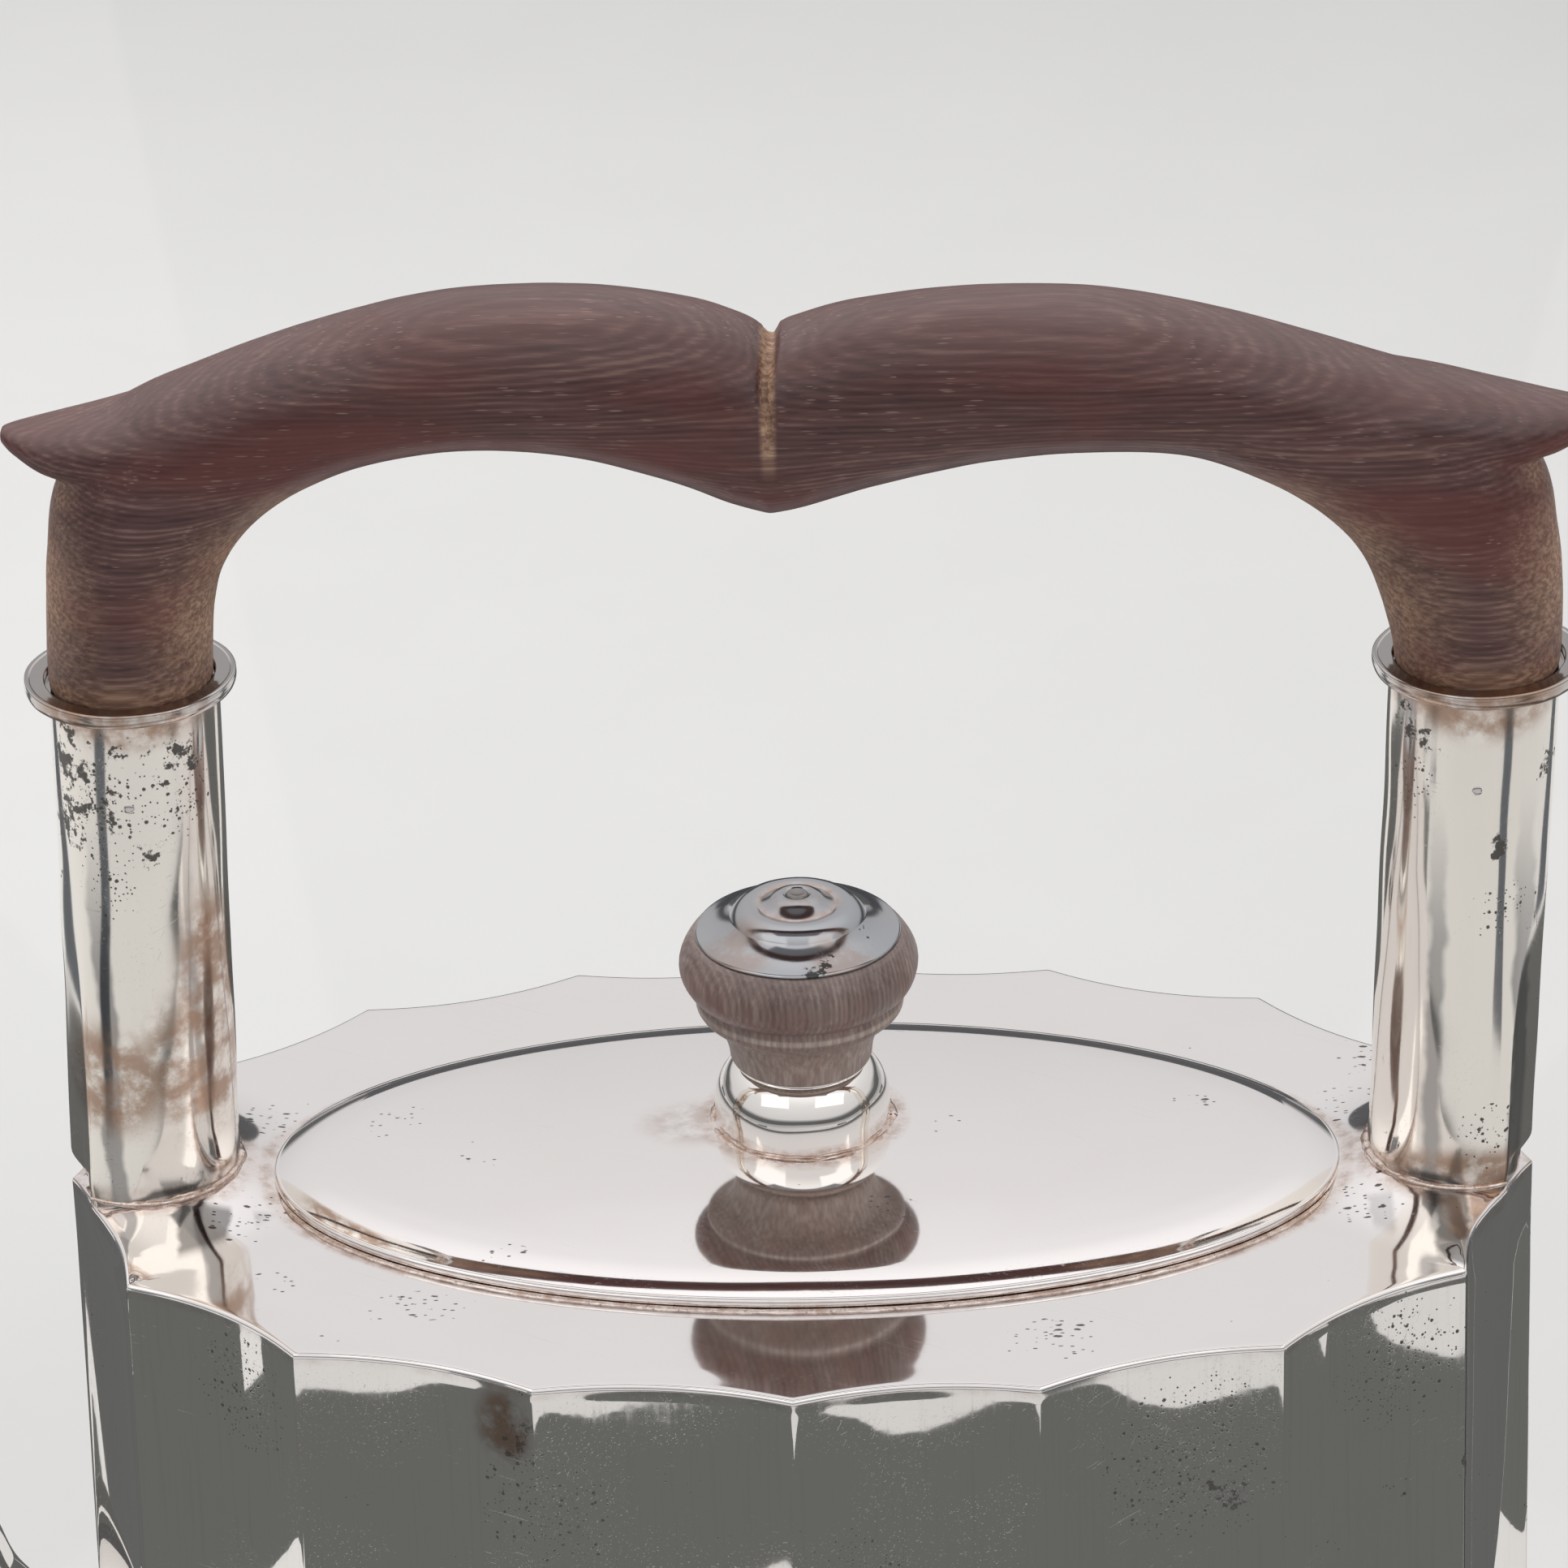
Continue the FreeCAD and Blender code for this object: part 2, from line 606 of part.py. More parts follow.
def main():
    os.makedirs("parts", exist_ok=True)
    save(make_body_wall(), "body_wall")
    save(make_base_plate(), "base_plate")
    save(make_foot_rim(), "foot_rim")
    save(make_deck_plate(), "deck_plate")
    save(make_lid_bezel(), "lid_bezel")
    spout = make_spout()
    save(spout, "spout")
    save(make_spout_seam(spout), "spout_seam")
    for name, side in (("left", -1), ("right", 1)):
        post = make_post(side)
        save(post, "post_" + name)
        save(make_post_seam(side, post), "post_seam_" + name)
        save(make_collar(side), "post_collar_" + name)
        save(make_cross_pin(side), "handle_pin_" + name)
    save(make_handle(), "handle")
    save(make_pot_hinge_knuckles(), "pot_hinge_knuckles")
    save(make_pot_hinge_plate(), "pot_hinge_plate")
    save(make_hinge_pin(), "hinge_pin")
    stud = make_knob_stud()
    lid_plate = make_lid_plate().cut(stud)
    save(lid_plate, "lid_plate")
    save(make_lid_flange(lid_plate), "lid_flange")
    save(make_lid_hinge_knuckle(), "lid_hinge_knuckle")
    save(make_lid_hinge_strap(lid_plate), "lid_hinge_strap")
    save(fit_knob_foot(make_knob_seam()), "knob_seam")
    save(fit_knob_foot(make_knob_ferrule()), "knob_ferrule")
    save(make_knob_wood(), "knob_wood")
    save(make_knob_cap(), "knob_cap")
    save(stud, "knob_stud")


main()
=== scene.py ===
"""The looks of a silver teapot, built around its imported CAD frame.

Metres, in the CAD frame: the spout is at -X, the hinge at +Y, and Z is up.
Lengths in the tables below are in millimetres and are turned into metres by MM.
"""
import math

import bmesh
import bpy
import numpy as np
from mathutils import Matrix, Vector, noise


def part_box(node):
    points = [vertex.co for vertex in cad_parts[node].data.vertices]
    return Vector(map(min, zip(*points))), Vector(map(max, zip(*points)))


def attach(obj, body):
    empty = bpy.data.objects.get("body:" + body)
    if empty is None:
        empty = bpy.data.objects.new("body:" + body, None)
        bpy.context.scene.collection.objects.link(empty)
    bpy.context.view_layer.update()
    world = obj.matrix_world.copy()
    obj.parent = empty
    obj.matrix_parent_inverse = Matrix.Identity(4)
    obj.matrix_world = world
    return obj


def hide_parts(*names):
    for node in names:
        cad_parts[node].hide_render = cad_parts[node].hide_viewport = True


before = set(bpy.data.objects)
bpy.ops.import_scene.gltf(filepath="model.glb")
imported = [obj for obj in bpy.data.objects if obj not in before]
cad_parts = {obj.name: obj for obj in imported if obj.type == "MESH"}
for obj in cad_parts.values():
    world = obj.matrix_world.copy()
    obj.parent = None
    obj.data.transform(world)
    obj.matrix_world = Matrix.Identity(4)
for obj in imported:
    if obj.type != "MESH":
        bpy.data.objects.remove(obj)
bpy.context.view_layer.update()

MM = 0.001               # metres in a millimetre
TURN = 2 * math.pi

# ---- places taken from the frame, in millimetres ----
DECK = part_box("pot_hinge_plate")[0].z / MM
HALF_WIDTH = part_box("deck_plate")[1].y / MM
LID_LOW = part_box("lid_plate")[0] / MM
LID_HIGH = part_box("lid_plate")[1] / MM
LID_X = (LID_LOW.x + LID_HIGH.x) / 2
LID_Y = (LID_LOW.y + LID_HIGH.y) / 2
LID_A = (LID_HIGH.x - LID_LOW.x) / 2
LID_B = (LID_HIGH.y - LID_LOW.y) / 2
KNOB_X = (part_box("knob_cap")[0].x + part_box("knob_cap")[1].x) / 2 / MM
KNOB_Y = (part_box("knob_cap")[0].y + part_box("knob_cap")[1].y) / 2 / MM
KNOB_FOOT = DECK + 3.3
POST_FOOT = DECK + 2.0
POST_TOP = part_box("post_collar_left")[0].z / MM

# ---- the pot's outline ----
HALF_LENGTH = 74.6       # of the oval that the outline follows
# sharp ridges between the hollow flutes, round the oval from its +X end; handmade, so not quite even
RIDGES = [
    (73.6, 0.0), (66.0, 21.2), (47.6, 35.3), (25.2, 42.3), (-0.2, HALF_WIDTH), (-25.7, 42.4), (-48.0, 35.2),
    (-67.2, 21.2), (-75.5, 0.0), (-67.5, -21.7), (-49.8, -34.9), (-26.1, -42.0), (-0.9, -HALF_WIDTH),
    (22.8, -42.7), (46.6, -35.5), (65.3, -21.6),
]
# the four flutes beside the posts: each one's number, and whether it ends at the end ridge
END_FLUTES = {0: False, 15: True, 8: False, 7: True}
CUSP_HOLLOW = {-1: 0.85, 1: 1.15}   # depth of their edge between cusp and arris
ARRIS_SHARE = 0.64       # the arris's share of the way from the cusp to the end ridge
# height of the end flutes' edge over the deck, by share of the way from the cusp to the end ridge
EDGE_RISES = [(0.0, 0.0), (0.05, 0.45), (0.14, 0.9), (0.3, 0.9), (0.45, 0.85), (0.64, 1.2), (0.8, 0.5),
              (1.0, 0.0)]
FLUTE_DEPTH = 1.8
FLUTE_STEPS = 30
WALL_FLARE = 1.4         # how much wider the wall is at the bilge than at the rim
BILGE = 15.0             # height where the wall turns in to the foot
BASE_INSET = 4.0         # how far the foot is set in from the rim
SHEET = 1.0


# ---- mesh helpers ----
def add_object(name, data):
    """Puts a mesh, lamp or camera in the scene."""
    piece = bpy.data.objects.new(name, data)
    bpy.context.scene.collection.objects.link(piece)
    return piece


def turn_angles(count):
    """Evenly spaced angles round a whole turn."""
    return [TURN * j / count for j in range(count)]


def finish_mesh(name, mesh, sharp=None):
    """Makes an object of a mesh in millimetres, shades it smooth and turns it outwards."""
    work = bmesh.new()
    work.from_mesh(mesh)
    bmesh.ops.remove_doubles(work, verts=work.verts, dist=1e-5)
    bmesh.ops.recalc_face_normals(work, faces=work.faces)
    bmesh.ops.scale(work, vec=(MM, MM, MM), verts=work.verts)
    work.to_mesh(mesh)
    work.free()
    mesh.shade_smooth()
    if sharp:
        mesh.set_sharp_from_angle(angle=math.radians(sharp))
    return add_object(name, mesh)


def skin(name, rows, closed=False, caps=False, sharp=None):
    """A surface through rows of points, each row a closed loop. closed joins the last row
    to the first; caps fills the two end loops."""
    rows = np.asarray(rows, float)
    count, around = rows.shape[:2]
    faces = []
    for i in range(count if closed else count - 1):
        here = i * around
        there = ((i + 1) % count) * around
        for j in range(around):
            k = (j + 1) % around
            faces.append((here + j, here + k, there + k, there + j))
    if caps:
        faces.append(tuple(range(around - 1, -1, -1)))
        last = (count - 1) * around
        faces.append(tuple(range(last, last + around)))
    mesh = bpy.data.meshes.new(name)
    mesh.from_pydata(rows.reshape(-1, 3).tolist(), [], faces)
    return finish_mesh(name, mesh, sharp)


def expand(points):
    """Closely spaced points along an outline. A point marked "arc" bends the line between the
    points before and after it, and isn't an end of any line."""
    out = [np.array(points[0][:2], float)]
    via = None
    for point in points[1:]:
        spot = np.array(point[:2], float)
        if len(point) == 3:
            via = spot
            continue
        start = out[-1]
        if via is None:
            out += [start + (spot - start) * (i / 3) for i in (1, 2, 3)]
        else:
            for i in range(1, 11):
                t = i / 10
                out.append((1 - t) * (1 - 2 * t) * start + 4 * t * (1 - t) * via + t * (2 * t - 1) * spot)
            via = None
    return out


SAME_PLACE = 1e-9
STRAIGHT = 12            # degrees of turn that count as straight on


def soften(points, radius):
    """Rounds the corners of a dense closed outline by cutting each corner and easing the cut."""
    out = []
    for i, point in enumerate(points):
        here = Vector(point)
        back = Vector(points[i - 1]) - here
        ahead = Vector(points[(i + 1) % len(points)]) - here
        if min(back.length, ahead.length) < SAME_PLACE:
            continue
        if math.degrees(back.angle(-ahead)) < STRAIGHT or here.x < 1e-6:
            out.append(here)
            continue
        cut = min(radius, back.length * 0.45, ahead.length * 0.45)
        first = here + back.normalized() * cut
        last = here + ahead.normalized() * cut
        for t in (0.0, 0.25, 0.5, 0.75, 1.0):
            out.append(first * (1 - t) ** 2 + here * 2 * t * (1 - t) + last * t ** 2)
    return out


def lathe(name, profile, x, y, z, segments=160, radius=0.12, wobble=0.0):
    """A turned piece from a closed half outline, its corners rounded. wobble dents it a little."""
    rows = []
    for r, h in soften(expand(profile), radius):
        row = []
        for angle in turn_angles(segments):
            px = math.cos(angle) * r
            py = math.sin(angle) * r
            swell = 1 + wobble * noise.noise(Vector((px, py, h)) * 0.21) / max(r, 1.0)
            row.append((x + px * swell, y + py * swell, z + h))
        rows.append(row)
    return skin(name, rows, closed=True, sharp=50)


def ease(value):
    """Smooth step from 0 to 1."""
    value = min(1.0, max(0.0, value))
    return value * value * (3 - 2 * value)


def ripple(point, size, reach):
    """Handmade unevenness: a smooth random height for a point, with features of a given size."""
    return reach * noise.noise(Vector(point) / size)


def catmull(points, steps):
    """A smooth curve through points (tuples of any length), with steps spans between each pair."""
    points = np.asarray(points, float)
    first = 2 * points[0] - points[1]
    last = 2 * points[-1] - points[-2]
    padded = np.vstack([first, points, last])
    out = []
    for i in range(1, len(padded) - 2):
        p0, p1, p2, p3 = padded[i - 1:i + 3]
        for k in range(steps):
            t = k / steps
            out.append(0.5 * (2 * p1 + (p2 - p0) * t + (2 * p0 - 5 * p1 + 4 * p2 - p3) * t ** 2
                              + (3 * p1 - p0 - 3 * p2 + p3) * t ** 3))
    out.append(points[-1])
    return np.array(out)


def lay_down(piece, x, y, z, axis):
    """Turns an upright piece a quarter about an axis and moves it to its place."""
    piece.data.transform(Matrix.Translation(Vector((x, y, z)) * MM) @ Matrix.Rotation(math.pi / 2, 4, axis))
    return piece


def place(piece, body, slot, material, *nodes):
    """Gives a piece its body and material, and hides the CAD nodes it stands for. slot is not used."""
    piece.data.materials.clear()
    piece.data.materials.append(material)
    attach(piece, body)
    if nodes:
        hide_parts(*nodes)
    return piece


# ---- the fluted wall ----
ARRIS_ROUND = 0.3        # of the ridges between the flutes
POST_X = 65.8
POST_LEAN = 0.65
POST_R = 8.35
# each post's front and back arrises and its outer ridge, out from its axis
POST_ARRIS = {-1: (6.1, 7.8), 1: (5.1, 8.2)}
POST_RIDGE = {-1: 9.0, 1: 8.4}
FACET_DEPTH = 0.45
EDGE_BLEND = 8.0         # height over which the wall changes from its outline to the rim's edge
FOOT_NOTCH = 1.4
WALL_TOP = DECK - 0.55 * SHEET


def outward(x, y):
    """Direction straight out of the pot's oval at a point."""
    return Vector((x / HALF_LENGTH ** 2, y / HALF_WIDTH ** 2)).normalized()


def hollow_point(start, end, share, depth, soft=0.0):
    """A point of a hollow line between two others, its ends rounded by soft."""
    length = (end - start).length
    near = math.hypot(share * length, soft)
    far = math.hypot((1 - share) * length, soft)
    middle = (start + end) / 2
    return start.lerp(end, share) - outward(*middle) * (4 * depth * near * far / length ** 2)


def end_edge(cusp, ridge, share):
    """The rim's edge beside a post: hollow from the cusp to the post's arris, then nearly
    straight to the end ridge."""
    side = 1 if cusp.x > 0 else -1
    arris_x, arris_y = POST_ARRIS[side]
    arris = Vector((post_axis(side, POST_FOOT) + side * arris_x, math.copysign(arris_y, cusp.y)))
    if share < ARRIS_SHARE:
        return hollow_point(cusp, arris, share / ARRIS_SHARE, CUSP_HOLLOW[side], 0.1)
    return hollow_point(arris, ridge, (share - ARRIS_SHARE) / (1 - ARRIS_SHARE), 0.3)


def fluted_outline():
    """The pot's outline, closely spaced at the ridges, whose arrises are slightly rounded; the
    edge of its rim, which bulges out to the posts; and that edge's height over the deck."""
    ridges = [Vector(ridge) for ridge in RIDGES]
    points = []
    edges = []
    rises = []
    for i, start in enumerate(ridges):
        end = ridges[(i + 1) % len(ridges)]
        for j in range(FLUTE_STEPS):
            u = (1 - math.cos(math.pi * j / FLUTE_STEPS)) / 2
            point = hollow_point(start, end, u, FLUTE_DEPTH, ARRIS_ROUND)
            edge = point
            rise = 0.0
            if i in END_FLUTES:
                cusp, ridge, share = (start, end, u) if END_FLUTES[i] else (end, start, 1 - u)
                edge = end_edge(cusp, ridge, share)
                rise = float(np.interp(share, *zip(*EDGE_RISES)))
            points.append(point)
            edges.append(edge)
            rises.append(rise)
    return points, edges, rises


def post_axis(side, z):
    """X of a post's leaning axis at a height over the base."""
    middle = (POST_FOOT + POST_TOP) / 2
    return side * POST_X + POST_LEAN * (z - middle) / (POST_TOP - middle)


def arris_angle(side):
    """Angle of a post's front arris, measured from its outer ridge."""
    return math.atan2(POST_ARRIS[side][1], POST_ARRIS[side][0])


def foot_radius(side, angle):
    """Radius of a post's foot, with the angle measured from its outer ridge."""
    angle = abs(math.remainder(angle, TURN))
    arris_x, arris_y = POST_ARRIS[side]
    ridge = POST_RIDGE[side]
    if angle < arris_angle(side):
        normal = Vector((arris_y, ridge - arris_x)).normalized()
        radius = normal.x * ridge / (normal.x * math.cos(angle) + normal.y * math.sin(angle))
        u = radius * math.sin(angle) / arris_y
        return radius - FACET_DEPTH * 4 * u * (1 - u)
    corner = math.hypot(arris_x, arris_y)
    fade = (math.pi - angle) / (math.pi - arris_angle(side))
    return POST_R + (corner - POST_R) * fade ** 1.6


def foot_hollow(side, angle, z):
    """How far a post's foot is set in on its outer side, low down."""
    turned = abs(math.remainder(angle, TURN)) / arris_angle(side)
    return FOOT_NOTCH * (1 - ease((z - DECK - 0.3) / 3.2)) * (1 - ease((turned - 0.45) / 0.75))


def foot_angle(side, x, y):
    """Angle of a point round a post's foot, 0 at its outer ridge, and its distance."""
    dx = (x - post_axis(side, POST_FOOT)) * side
    return math.atan2(y, dx), math.hypot(dx, y)


def wall_offset(z):
    """How far the wall stands outside the rim's outline at a height over the base."""
    if z >= BILGE:
        return WALL_FLARE * (WALL_TOP - z) / (WALL_TOP - BILGE)
    cosine = min(1.0, (BILGE - z) / (BILGE - SHEET))
    return -(BASE_INSET - (BASE_INSET + WALL_FLARE) * math.sqrt(1 - cosine ** 2))


def build_wall(outline, edges, rises):
    """The wall as a closed shell: outside from the rim down, then inside back up."""
    # rows close together at the rim and where the wall turns in to the foot
    heights = [WALL_TOP - 0.02 * i ** 2 for i in range(9)]
    heights += [heights[-1] - 2.2 * (i + 1) for i in range(34)]
    heights = [z for z in heights if z > BILGE] + [BILGE]
    for i in range(1, 13):
        heights.append(BILGE - (BILGE - SHEET) * (1 - math.cos(math.pi / 2 * i / 12)))
    heights = [z for z in heights if z > SHEET + 0.02] + [SHEET]
    outs = [outward(*point) for point in outline]
    rows = []
    for depth in (0.0, SHEET):
        levels = heights if depth == 0 else heights[::-1]
        for z in levels:
            offset = wall_offset(z) - depth
            row = []
            for point, edge, out, rise in zip(outline, edges, outs, rises):
                blend = ease((z - (WALL_TOP - EDGE_BLEND)) / EDGE_BLEND)
                here = point.lerp(edge, blend) + out * offset
                dent = ripple((here.x, here.y, z), 19.0, 0.09) + ripple((here.x, here.y, z * 0.6), 7.0, 0.018)
                dent *= 1 - ease((z - WALL_TOP + 1.2) / 1.2) * 0.8
                here += out * dent
                row.append((here.x, here.y, z + rise * blend))
            rows.append(row)
    wall = skin("wall_shell", rows, closed=True, sharp=60)
    drill_strainer(wall)
    return wall


HOLE_RADIUS = 1.3
HOLE_SPACING = 6.0
HOLE_DEPTH = 12.0
HOLES_MIDDLE = (-75.0, 0.0, 24.5)


def drill_strainer(wall):
    """Nine straining holes through the wall behind the spout."""
    drills = bmesh.new()
    sideways = Matrix.Rotation(math.pi / 2, 4, "Y")
    for row in (-1, 0, 1):
        for column in (-1, 0, 1):
            spot = Vector(HOLES_MIDDLE) + Vector((0, column, row)) * HOLE_SPACING
            matrix = Matrix.Translation(spot * MM) @ sideways
            bmesh.ops.create_cone(drills, cap_ends=True, segments=24, radius1=HOLE_RADIUS * MM,
                                  radius2=HOLE_RADIUS * MM, depth=HOLE_DEPTH * MM, matrix=matrix)
    mesh = bpy.data.meshes.new("strainer_drills")
    drills.to_mesh(mesh)
    drills.free()
    cutter = add_object("strainer_drills", mesh)
    cut = wall.modifiers.new("holes", "BOOLEAN")
    cut.operation = "DIFFERENCE"
    cut.solver = "EXACT"
    cut.object = cutter
    apply_modifiers(wall)
    bpy.data.objects.remove(cutter)


def apply_modifiers(piece):
    """Bakes a piece's modifiers into its mesh."""
    graph = bpy.context.evaluated_depsgraph_get()
    mesh = bpy.data.meshes.new_from_object(piece.evaluated_get(graph))
    piece.modifiers.clear()
    piece.data = mesh


# ---- deck ----
SHOULDER_RISE = 2.0
OUTER_RISE = 1.1         # the shoulder's height outside the post's arrises
# how far the raised shoulder reaches out from the post's foot, by degrees from its outer ridge
SHOULDER_REACH = [(0, 1.6), (35, 5), (55, 20), (65, 27), (88, 12.3), (100, 11), (127, 9), (180, 9)]


def shoulder_table():
    """The shoulder's reach for every degree, smoothed."""
    degrees = np.arange(-40, 221)
    reach = np.interp(np.abs(degrees), *zip(*SHOULDER_REACH))
    bell = np.exp(-0.5 * (np.arange(-15, 16) / 6.0) ** 2)
    smooth = np.convolve(reach, bell / bell.sum(), mode="same")
    return smooth[40:221]


REACH = shoulder_table()


def deck_height(x, y):
    """Height of the deck's raised shoulder at a place."""
    side = 1 if x > 0 else -1
    angle, distance = foot_angle(side, x, y)
    gap = max(0.0, distance - foot_radius(side, angle))
    degree = math.degrees(abs(angle))
    low = int(degree)
    reach = REACH[low] + (REACH[min(low + 1, 180)] - REACH[low]) * (degree - low)
    top = OUTER_RISE + (SHOULDER_RISE - OUTER_RISE) * ease((abs(angle) / arris_angle(side) - 0.7) / 0.5)
    return top * max(0.0, 1 - gap / reach) ** 2


OPENING_INSET = 2.2      # of the deck's opening, from the lid's edge
# the deck's rounded rim, from its lower face to its upper one: (distance out, height)
DECK_RIM = [(-1.0, -1.0), (-0.6, -1.0), (-0.15, -0.64), (0.0, -0.57), (0.01, -0.42), (-0.03, -0.25),
            (-0.12, -0.1), (-0.25, -0.02), (-0.45, 0.0), (-0.9, 0.0)]


def build_deck(outline, edges, rises):
    """The pot's flat top: a closed sheet from the rounded rim to the lid's opening."""
    a = LID_A - OPENING_INSET
    b = LID_B - OPENING_INSET
    outs = [outward(*point) for point in outline]
    rows = []
    for outset, drop in DECK_RIM:
        row = []
        for edge, rise, out in zip(edges, rises, outs):
            here = edge + out * outset
            row.append((here.x, here.y, DECK + rise + drop))
        rows.append(row)
    steps = 56
    for under in (False, True):
        for i in range(steps, 0, -4) if under else range(1, steps + 1):
            t = i / steps
            row = []
            for edge, rise, out in zip(edges, rises, outs):
                start = edge - out * (1.0 if under else 0.9)
                angle = math.atan2((edge.y - LID_Y) / b, (edge.x - LID_X) / a)
                goal = Vector((LID_X + a * math.cos(angle), LID_Y + b * math.sin(angle)))
                here = start.lerp(goal, t)
                if under:
                    row.append((here.x, here.y, DECK - SHEET + rise * (1 - t) ** 6))
                    continue
                hold = max(0.0, 1 - ((here - start).length / 4.0)) ** 2
                height = deck_height(here.x, here.y) * (1 - hold) + rise * hold
                wave = ripple((here.x, here.y, 3.0), 24.0, 0.05) + ripple((here.x, here.y, 9.0), 9.0, 0.012)
                row.append((here.x, here.y, DECK + height + wave * ease(6 * t) * ease(6 * (1 - t))))
            rows.append(row)
    return skin("deck_sheet", rows, closed=True, sharp=50)


# section of the collar in the opening and its solder bead: (distance out from the lid's edge,
# height over the deck)
BEZEL = [(-3.0, -8.0), (-2.2, -8.0), (-2.2, -1.0), (-2.2, -0.1), (0.1, -0.1), (0.5, -0.08), (0.46, 0.08),
         (0.3, 0.2), (0.05, 0.27), (-0.5, 0.3), (-1.6, 0.3), (-2.7, 0.3), (-2.95, 0.25), (-3.0, 0.1),
         (-3.0, -2.0), (-3.0, -5.0)]
BEAD_SWELL = 0.16


def build_bezel():
    """Collar in the opening, with its low solder bead on the deck, uneven where it ran."""
    rows = []
    for out, height in BEZEL:
        row = []
        for angle in turn_angles(480):
            point = Vector((LID_A * math.cos(angle), LID_B * math.sin(angle)))
            normal = Vector((math.cos(angle) / LID_A, math.sin(angle) / LID_B)).normalized()
            lumps = ripple((point.x, point.y, 5.0), 2.6, 1.0) + ripple((point.x, point.y, 8.0), 0.9, 0.6)
            uneven = BEAD_SWELL * lumps
            lift = height * (1 + 0.6 * uneven) if height > 0 else height
            here = point + normal * (out + uneven if out > 0 else out)
            row.append((LID_X + here.x, LID_Y + here.y, DECK + lift))
        rows.append(row)
    return skin("lid_collar_and_bead", rows, closed=True, sharp=55)


LID_EDGE = 1.0           # heights over the deck: of the upper face's edge,
LID_UNDER = 0.4          # of the turned-down edge's foot,
LID_RISE = 2.9           # and how far the dome rises above its edge
LID_THICK = 0.9
LID_CORNER = 0.42        # radius of the rounded edge
BORDER_WIDTH = 4.2
BORDER_DROP = 0.85
EVEN_INSET = 6.2         # rows nearer to the edge follow it evenly; the rest shrink to the middle
LID_INSETS = (0.42, 0.5, 0.62, 0.75, 0.9, 1.1, 1.3, 1.5, 1.7, 1.9, 2.1, 2.3, 2.5, 2.7, 2.9, 3.2, 3.6, 4.1,
              4.7, 5.4, EVEN_INSET)


def lid_top(inset):
    """Height of the lid's upper face at an inset from the edge, without the rounded corner."""
    share = max(0.0, (LID_B - inset) / LID_B)
    border = max(0.0, 1 - inset / BORDER_WIDTH)
    return LID_EDGE + (LID_RISE - BORDER_DROP) * (1 - share ** 2) + BORDER_DROP * (1 - border ** 2)


def lid_ring(inset, height, share=1.0):
    """Points round the lid's oval, set in from its edge and shrunk to a share."""
    row = []
    for angle in turn_angles(400):
        x = (LID_A - inset) * share * math.cos(angle)
        y = (LID_B - inset) * share * math.sin(angle)
        wave = ripple((x, y, 31.0), 21.0, 0.045) + ripple((x, y, 17.0), 8.0, 0.01)
        row.append((LID_X + x, LID_Y + y, DECK + height + wave))
    return row


def build_lid():
    """The shallow domed lid with its rounded edge."""
    rows = [lid_ring(0.04, LID_UNDER), lid_ring(0.0, LID_UNDER + 0.06)]
    for i in range(1, 8):
        angle = math.pi / 2 * i / 8
        height = lid_top(LID_CORNER) - LID_CORNER * (1 - math.sin(angle))
        rows.append(lid_ring(LID_CORNER * (1 - math.cos(angle)), height))
    rows += [lid_ring(inset, lid_top(inset)) for inset in LID_INSETS]
    shares = [1 - i / 30 for i in range(1, 30)] + [0.02]
    for drop, order in ((0.0, shares), (LID_THICK, shares[::3][::-1])):
        for share in order:
            height = lid_top(LID_B - (LID_B - EVEN_INSET) * share) - drop
            rows.append(lid_ring(EVEN_INSET, height, share))
    for inset in (EVEN_INSET, 4.5, 3.0, 2.0, 1.2):
        rows.append(lid_ring(inset, max(lid_top(inset) - LID_THICK, LID_UNDER + 0.02)))
    rows.append(lid_ring(0.5, LID_UNDER - 0.03))
    return skin("lid_dome", rows, closed=True, sharp=50)


# ---- posts ----
POST_BORE = 7.2
COLLAR_SHIFT = 0.35      # the rings stand a little further out than the posts
PIN_Z = DECK + 46.3
PIN_REACH = 8.52


def build_post(side, name):
    """A hollow post: faceted at the foot, round at the top, its arrises fading as they rise."""
    around = 256
    angles = np.arange(around) * TURN / around
    foot = np.array([foot_radius(side, angle) for angle in angles])
    waves = np.fft.rfftfreq(around, 1 / around)
    heights = [DECK - 0.4 + 0.5 * i for i in range(13)]
    heights += [heights[-1] + 1.25 * (i + 1) for i in range(38)]
    heights = [z for z in heights if z < POST_TOP - 0.3] + [POST_TOP]
    rows = []
    for z in heights:
        share = min(1.0, max(0.0, (z - POST_FOOT) / (POST_TOP - POST_FOOT)))
        radius = foot * (1 - share) + POST_R * share
        # the arrises are softened more and more on the way up
        spread = (0.28 + 1.3 * share ** 1.5) / POST_R
        radius = np.fft.irfft(np.fft.rfft(radius) * np.exp(-0.5 * (waves * spread) ** 2), around)
        radius -= np.array([foot_hollow(side, angle, z) for angle in angles])
        axis = post_axis(side, z)
        row = []
        for angle, r in zip(angles, radius):
            x = r * math.cos(angle) * side
            y = r * math.sin(angle)
            dent = ripple((x + side * 40, y, z * 0.7), 7.5, 0.11)
            dent += ripple((x * 1.3, y, z * 0.25 + 50), 3.6, 0.045)
            grow = 1 + dent / r
            row.append((axis + x * grow, y * grow, z))
        rows.append(row)
    for z in (POST_TOP, POST_TOP - 12, POST_FOOT + 18, POST_FOOT + 6, DECK - 0.4):
        axis = post_axis(side, z)
        rows.append([(axis + POST_BORE * math.cos(a) * side, POST_BORE * math.sin(a), z) for a in angles])
    return skin(name, rows, closed=True, sharp=60)


